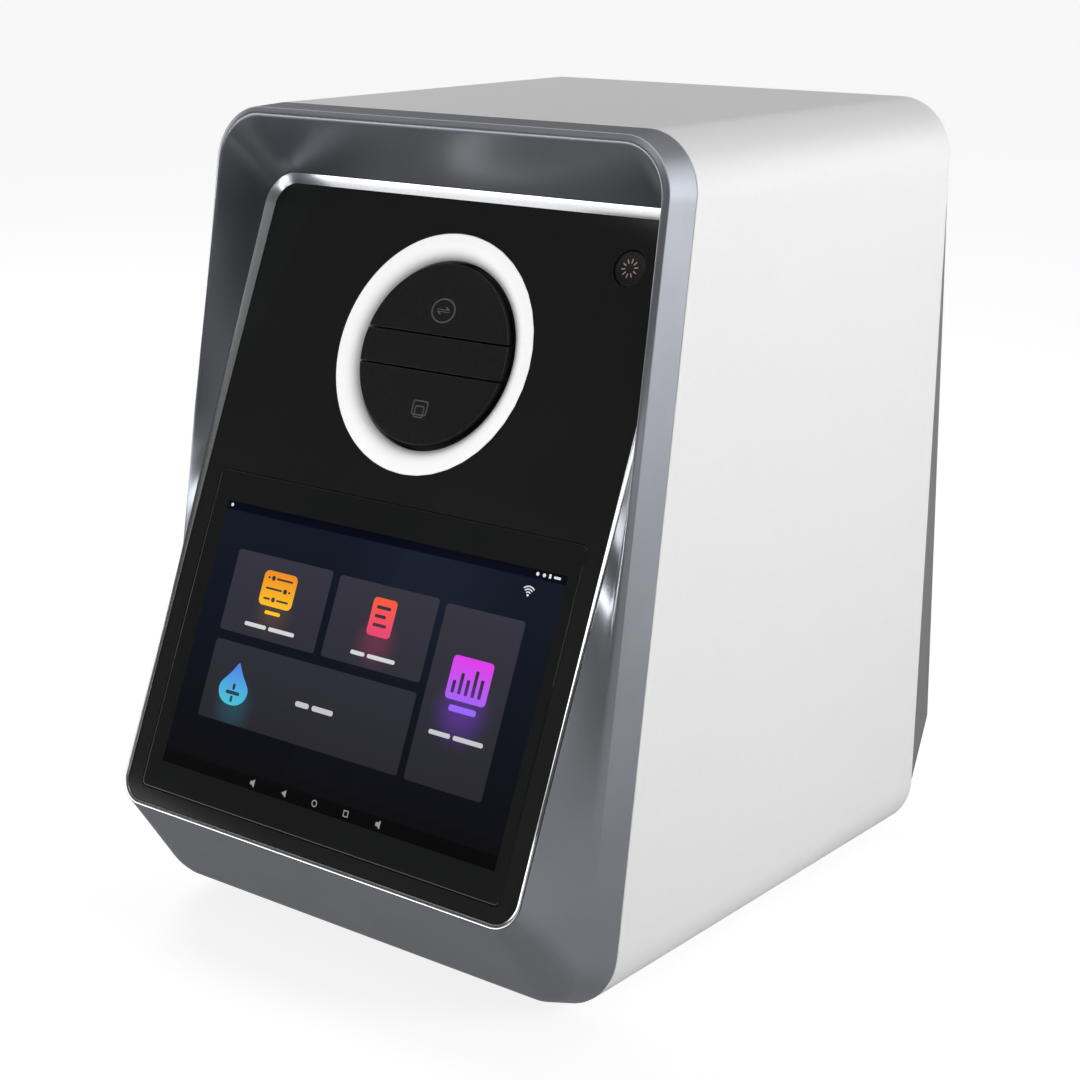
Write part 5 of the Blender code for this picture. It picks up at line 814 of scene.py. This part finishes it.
cover_tones = (tone(112, 112, 111), tone(116, 116, 115))
cover_grey = grained("textured_grey", *cover_tones, (0.5, 0.62), 1500, 0.00004, cloud=240)
back_cover = refined("rear_cover", "back_cover", 0.0002, angle=40, sharp=12)
mount(back_cover, cover_grey, "housing", "grey_cover", "rear_cover")

# Cover screws: six turned pan-head screws of blackened steel with a plain round socket. They stand for the
# screws that hold the rear cover to the case.
SCREW_RADIUS = 0.0032
SCREW_HEIGHT = 0.0009
SCREW_PLACES = [(side * 0.122, height) for height in (0.035, 0.175, 0.315) for side in (-1, 1)]
COVER_BACK = {"depth": 0.3565, "slope": 0.028}
steel_tones = (tone(70, 71, 74), tone(84, 85, 88))
blackened = grained("blackened_steel", *steel_tones, (0.3, 0.42), 1500, 0.000003, 0.8, cloud=300)
swell = np.linspace(0, pi / 2, 6)
head = np.column_stack([SCREW_RADIUS * np.sin(swell), SCREW_HEIGHT * (0.45 + 0.55 * np.cos(swell))])
socket = [[0, SCREW_HEIGHT * 0.4], [0.0011, SCREW_HEIGHT * 0.4], [0.0013, SCREW_HEIGHT * 0.96]]
head = np.concatenate([socket, head[2:], [[SCREW_RADIUS, -0.0004], [0, -0.0004]]])
for number, (screw_x, screw_z) in enumerate(SCREW_PLACES, 1):

    def on_cover(x, y, h):
        """A point of the screw's frame on the leaning back of the cover."""
        depth = COVER_BACK["depth"] - COVER_BACK["slope"] * (screw_z + y) + h
        return points_of(screw_x + x, depth, screw_z + y)

    screw = lathe("cover_screw_%d" % number, head, on_cover, 24, sharp=28)
    mount(screw, blackened, "housing", "polished_steel")

# Fan, sockets and switch: the fan's frame and bladed wheel, the mains inlet and the mains switch with its
# rocker. They are moulded in black plastic, sit in the cover's openings, and their edges are broken.
moulded_black = grained("moulded_black", tone(34, 34, 35), tone(42, 42, 43), (0.42, 0.55), 1300, 0.00002)
for node, name, body, slot, width in (
    ("fan_frame", "fan_housing", "housing", "black_plastic", 0.0004),
    ("fan_rotor", "fan_wheel", "fan_body", "black_plastic", 0.0001),
    ("power_inlet", "mains_inlet", "housing", "black_plastic", 0.0002),
    ("switch_body", "mains_switch", "housing", "black_plastic", 0.0002),
    ("switch_rocker", "mains_rocker", "rocker_body", "black_gloss", 0.0003),
):
    mount(refined(node, name, width), moulded_black, body, slot, node)

# Inner pieces: machined, stamped and moulded parts that the vents, the gaps and the tray's opening give a
# view of. They keep the frame's own solids, apart from the cartridge bed, whose edges are broken.
zinc_tones = (tone(176, 178, 180), tone(190, 192, 194))
zinc_sheet = grained("zinc_sheet", *zinc_tones, (0.35, 0.5), 400, 0.00001, 1, cloud=60)
alloy_tones = (tone(198, 200, 204), tone(208, 210, 214))
machined = grained("machined_aluminium", *alloy_tones, (0.28, 0.42), 500, 0.000008, 1, (1, 8, 1))
ground_tones = (tone(190, 190, 192), tone(204, 204, 206))
ground_steel = grained("ground_steel", *ground_tones, (0.16, 0.26), 900, 0.000004, 1, (1, 12, 1))
solder_mask = grained("solder_mask", tone(10, 66, 40), tone(16, 84, 52), (0.3, 0.45), 700, 0.00002, cloud=300)
acetal = grained("white_acetal", tone(224, 222, 214), tone(232, 230, 222), (0.4, 0.5), 500, 0.00001)
brass_tones = (tone(206, 168, 92), tone(218, 182, 108))
brass = grained("turned_brass", *brass_tones, (0.22, 0.34), 900, 0.000006, 1, (1, 10, 1))
tray_plastic = grained("tray_grey_plastic", tone(74, 75, 78), tone(82, 83, 86), (0.42, 0.52), 1400, 0.00002)
keep(zinc_sheet, "sheet_steel", "display_module", "motor_bracket", "mechanism_deck")
keep(zinc_sheet, "sheet_steel", "base_plate", "power_supply", "network_port")
keep(machined, "aluminium", "stepper_motor", "deck_post_1", "deck_post_2")
keep(machined, "aluminium", "deck_post_3", "deck_post_4", "optics_bracket")
keep(ground_steel, "polished_steel", "lead_screw", "usb_port")
keep(solder_mask, "board_green", "led_board", "key_board", "mainboard", "port_board")
keep(acetal, "acetal_white", "tray_nut", "tray_rail_left", "tray_rail_right")
keep(brass, "brass", "screw_bearing")
keep(moulded_black, "black_plastic", "key_carrier", "objective", "camera_module", "illuminator")
keep(moulded_black, "black_plastic", "button_housing", "button_switch")
mount(refined("cartridge_tray", "cartridge_bed", 0.0004), tray_plastic, "tray", "tray_grey", "cartridge_tray")


# Stage: a white floor that keeps a soft shadow, white all round, two soft lamps, cards that only reflections
# see, and the camera where the photograph was taken from.
def stage_white(name, shadow_share):
    """White to the camera, apart from the share of its own lit and shaded face that keeps the shadow."""
    material = bpy.data.materials.new(name)
    material.use_nodes = True
    nodes = material.node_tree.nodes
    links = material.node_tree.links
    shader = nodes["Principled BSDF"]
    shader.inputs["Base Color"].default_value = (0.88, 0.88, 0.88, 1)
    shader.inputs["Roughness"].default_value = 0.9
    shader.inputs["Specular IOR Level"].default_value = 0.1
    path = nodes.new("ShaderNodeLightPath")
    glossy = nodes.new("ShaderNodeMath")
    glossy.operation = "MAXIMUM"
    links.new(path.outputs["Is Camera Ray"], glossy.inputs[0])
    links.new(path.outputs["Is Glossy Ray"], glossy.inputs[1])
    part = nodes.new("ShaderNodeMath")
    part.operation = "MULTIPLY"
    part.inputs[1].default_value = 1 - shadow_share
    links.new(glossy.outputs["Value"], part.inputs[0])
    white = nodes.new("ShaderNodeEmission")
    white.inputs["Strength"].default_value = 1.2
    mix = nodes.new("ShaderNodeMixShader")
    links.new(part.outputs["Value"], mix.inputs["Fac"])
    links.new(shader.outputs["BSDF"], mix.inputs[1])
    links.new(white.outputs["Emission"], mix.inputs[2])
    links.new(mix.outputs["Shader"], nodes["Material Output"].inputs["Surface"])
    return material


FLOOR_HALF = 40
floor_corners = [(x * FLOOR_HALF, y * FLOOR_HALF, 0) for x, y in ((-1, -1), (1, -1), (1, 1), (-1, 1))]
floor_mesh = bpy.data.meshes.new("floor")
floor_mesh.from_pydata(floor_corners, [], [(0, 1, 2, 3)])
floor = bpy.data.objects.new("floor", floor_mesh)
bpy.context.scene.collection.objects.link(floor)
floor_mesh.materials.append(stage_white("floor_white", 0.3))
floor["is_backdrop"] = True

ROOM_LIGHT = 0.34
world = bpy.data.worlds.new("studio")
bpy.context.scene.world = world
world.use_nodes = True
air = world.node_tree.nodes
path = air.new("ShaderNodeLightPath")
seen = air.new("ShaderNodeMath")
seen.operation = "MAXIMUM"
world.node_tree.links.new(path.outputs["Is Camera Ray"], seen.inputs[0])
world.node_tree.links.new(path.outputs["Is Transmission Ray"], seen.inputs[1])
also = air.new("ShaderNodeMath")
also.operation = "MAXIMUM"
world.node_tree.links.new(seen.outputs["Value"], also.inputs[0])
world.node_tree.links.new(path.outputs["Is Glossy Ray"], also.inputs[1])
strength = air.new("ShaderNodeMapRange")
strength.inputs["To Min"].default_value = ROOM_LIGHT
strength.inputs["To Max"].default_value = 1
world.node_tree.links.new(also.outputs["Value"], strength.inputs["Value"])
world.node_tree.links.new(strength.outputs["Result"], air["Background"].inputs["Strength"])
air["Background"].inputs["Color"].default_value = (1, 1, 1, 1)

TARGET = Vector((0, 0, 0.2))


def softbox(name, place, width, height, power):
    """A soft lamp at a place, turned to the object."""
    lamp = bpy.data.lights.new(name, "AREA")
    lamp.shape = "RECTANGLE"
    lamp.size = width
    lamp.size_y = height
    lamp.energy = power
    holder = bpy.data.objects.new(name, lamp)
    holder.location = place
    holder.rotation_euler = (TARGET - Vector(place)).to_track_quat("-Z", "Y").to_euler()
    holder.visible_glossy = False
    bpy.context.scene.collection.objects.link(holder)


softbox("key_right", (1.5, 0.1, 0.7), 0.6, 0.6, 10.6)
softbox("fill_left", (-1.5, 0.4, 1.9), 1.0, 1.0, 20)


def flag(name, corners, near, far, centre, reach):
    """A card that only reflections see: its light runs from near to far over a reach about a centre."""
    material = bpy.data.materials.new(name)
    material.use_nodes = True
    nodes = material.node_tree.nodes
    links = material.node_tree.links
    nodes.remove(nodes["Principled BSDF"])
    light = nodes.new("ShaderNodeEmission")
    where = nodes.new("ShaderNodeTexCoord")
    away = nodes.new("ShaderNodeVectorMath")
    away.operation = "DISTANCE"
    away.inputs[1].default_value = centre
    links.new(where.outputs["Object"], away.inputs[0])
    run = nodes.new("ShaderNodeMapRange")
    run.inputs["From Min"].default_value = reach[0]
    run.inputs["From Max"].default_value = reach[1]
    run.inputs["To Min"].default_value = near
    run.inputs["To Max"].default_value = far
    links.new(away.outputs["Value"], run.inputs["Value"])
    links.new(run.outputs["Result"], light.inputs["Strength"])
    links.new(light.outputs["Emission"], nodes["Material Output"].inputs["Surface"])
    mesh = bpy.data.meshes.new(name)
    mesh.from_pydata(corners, [], [(0, 1, 2, 3)])
    mesh.materials.append(material)
    piece = bpy.data.objects.new(name, mesh)
    bpy.context.scene.collection.objects.link(piece)
    piece.visible_camera = False
    piece.visible_diffuse = False
    piece.visible_shadow = False
    piece.visible_transmission = False
    piece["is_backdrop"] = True


def facing(place, half_width, half_height):
    """The corners of a card at a place that faces the object."""
    turn = (TARGET - Vector(place)).to_track_quat("Z", "Y").to_matrix()
    corners = []
    for x, y in ((-1, -1), (1, -1), (1, 1), (-1, 1)):
        corners.append(Vector(place) + turn @ Vector((x * half_width, y * half_height, 0)))
    return corners


flag("flag_front", facing((-1.0, -1.35, 0.8), 1.0, 0.46), 0.04, 0.08, (-1.0, -1.35, 0.8), (0.2, 1.4))
flag("flag_high", facing((-1.3, -1.1, 2.0), 0.9, 0.5), 0.22, 0.3, (-1.3, -1.1, 2.0), (0.2, 1.2))
flag("flag_camera", facing((0.75, -2.2, 1.0), 1.0, 1.0), 0.1, 0.16, (0.75, -2.2, 1.0), (0.2, 1.4))
flag("flag_right", facing((2.0, -1.05, 0.75), 1.3, 0.74), 0.08, 0.17, (1.6, -1.4, 0.6), (0.2, 1.6))
flag("flag_back", facing((-1.3, 1.65, 0.8), 1.1, 0.8), 0.1, 0.24, (-1.3, 1.65, 0.8), (0.1, 1.1))
flag("flag_above", facing((-0.35, 1.95, 1.35), 1.2, 0.95), 0.2, 0.3, (-0.35, 1.95, 1.35), (0.2, 1.2))
flag("glow_back", facing((2.1, 2.6, 1.05), 1.0, 1.05), 2.3, 1.2, (2.4, 2.6, 0.1), (0.5, 2.2))
glint = [(0.143, -0.236, 0.21), (0.171, -0.25, 0.21), (0.171, -0.25, 0.28), (0.143, -0.236, 0.28)]
flag("glow_right", glint, 10, 6, (0.157, -0.243, 0.245), (0, 0.04))
shade = [(-0.06, -0.2, 0.11), (0.136, -0.2, 0.11), (0.136, -0.2, 0.285), (-0.06, -0.2, 0.285)]
flag("flag_middle", shade, 0.06, 0.06, (0, -0.2, 0.2), (0, 0.2))
side_band = [(-1.2, -0.85, 0.2), (-1.2, -0.85, 0.45), (-1.2, -0.05, 0.45), (-1.2, -0.05, 0.2)]
flag("glow_side", side_band, 3.2, 2.6, (-1.2, -0.45, 0.3), (0.1, 0.6))
low_band = [(0.15, -2.2, 0), (0.15, -2.2, 0.22), (-2.5, 0.2, 0.22), (-2.5, 0.2, 0)]
flag("glow_low", low_band, 2.6, 2.2, (-0.6, -1.5, 0.2), (0.2, 1.8))
around = [(-2.5, -2.5, 0.0005), (2.5, -2.5, 0.0005), (2.5, 2.5, 0.0005), (-2.5, 2.5, 0.0005)]
flag("flag_floor", around, 0.24, 0.36, (0, 0, 0), (0.3, 2.4))
START = Vector((0.14, -0.1, 0.001))
AHEAD = Vector((0.686, 0.727, 0))
ACROSS = Vector((0.727, -0.686, 0))
END = START + AHEAD * 3.2
strip = [START - ACROSS * 0.1, START + ACROSS * 0.12, END + ACROSS * 0.55, END - ACROSS * 0.9]
flag("glow_floor", strip, 0.3, 1.5, START, (0.1, 2.4))
beside = [(0.2, -1.2, 0.0007), (3, -1.2, 0.0007), (3, 1.4, 0.0007), (0.2, 0, 0.0007)]
flag("flag_beside", beside, 0.42, 0.06, START, (0.2, 0.7))
TOWARDS = Vector((-0.65, -0.76, 0))
SIDEWAYS = Vector((0.76, -0.65, 0))
patch_corners = ((0.55, -0.25), (0.55, 0.25), (3, 0.8), (3, -0.8))
patch = [START + TOWARDS * way + SIDEWAYS * side for way, side in patch_corners]
flag("glow_trim", patch, 0.95, 0.85, START, (0.5, 2.5))

CAMERA_PLACE = (0.6924, -0.87384, 0.5011)
CAMERA_RIGHT = (0.7851, 0.6193, 0.0006)
CAMERA_AHEAD = (-0.5957, 0.7554, -0.2729)
camera_data = bpy.data.cameras.new("camera")
camera_data.lens = 74.0
camera_data.sensor_width = 36
camera_data.clip_start = 0.05
camera = bpy.data.objects.new("camera", camera_data)
bpy.context.scene.collection.objects.link(camera)
right = Vector(CAMERA_RIGHT).normalized()
back = -Vector(CAMERA_AHEAD).normalized()
up = back.cross(right).normalized()
camera_turn = Matrix((right, up, back)).transposed().to_4x4()
camera.matrix_world = Matrix.Translation(CAMERA_PLACE) @ camera_turn
bpy.context.scene.camera = camera
bpy.context.scene.view_settings.view_transform = "Standard"

low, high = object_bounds()
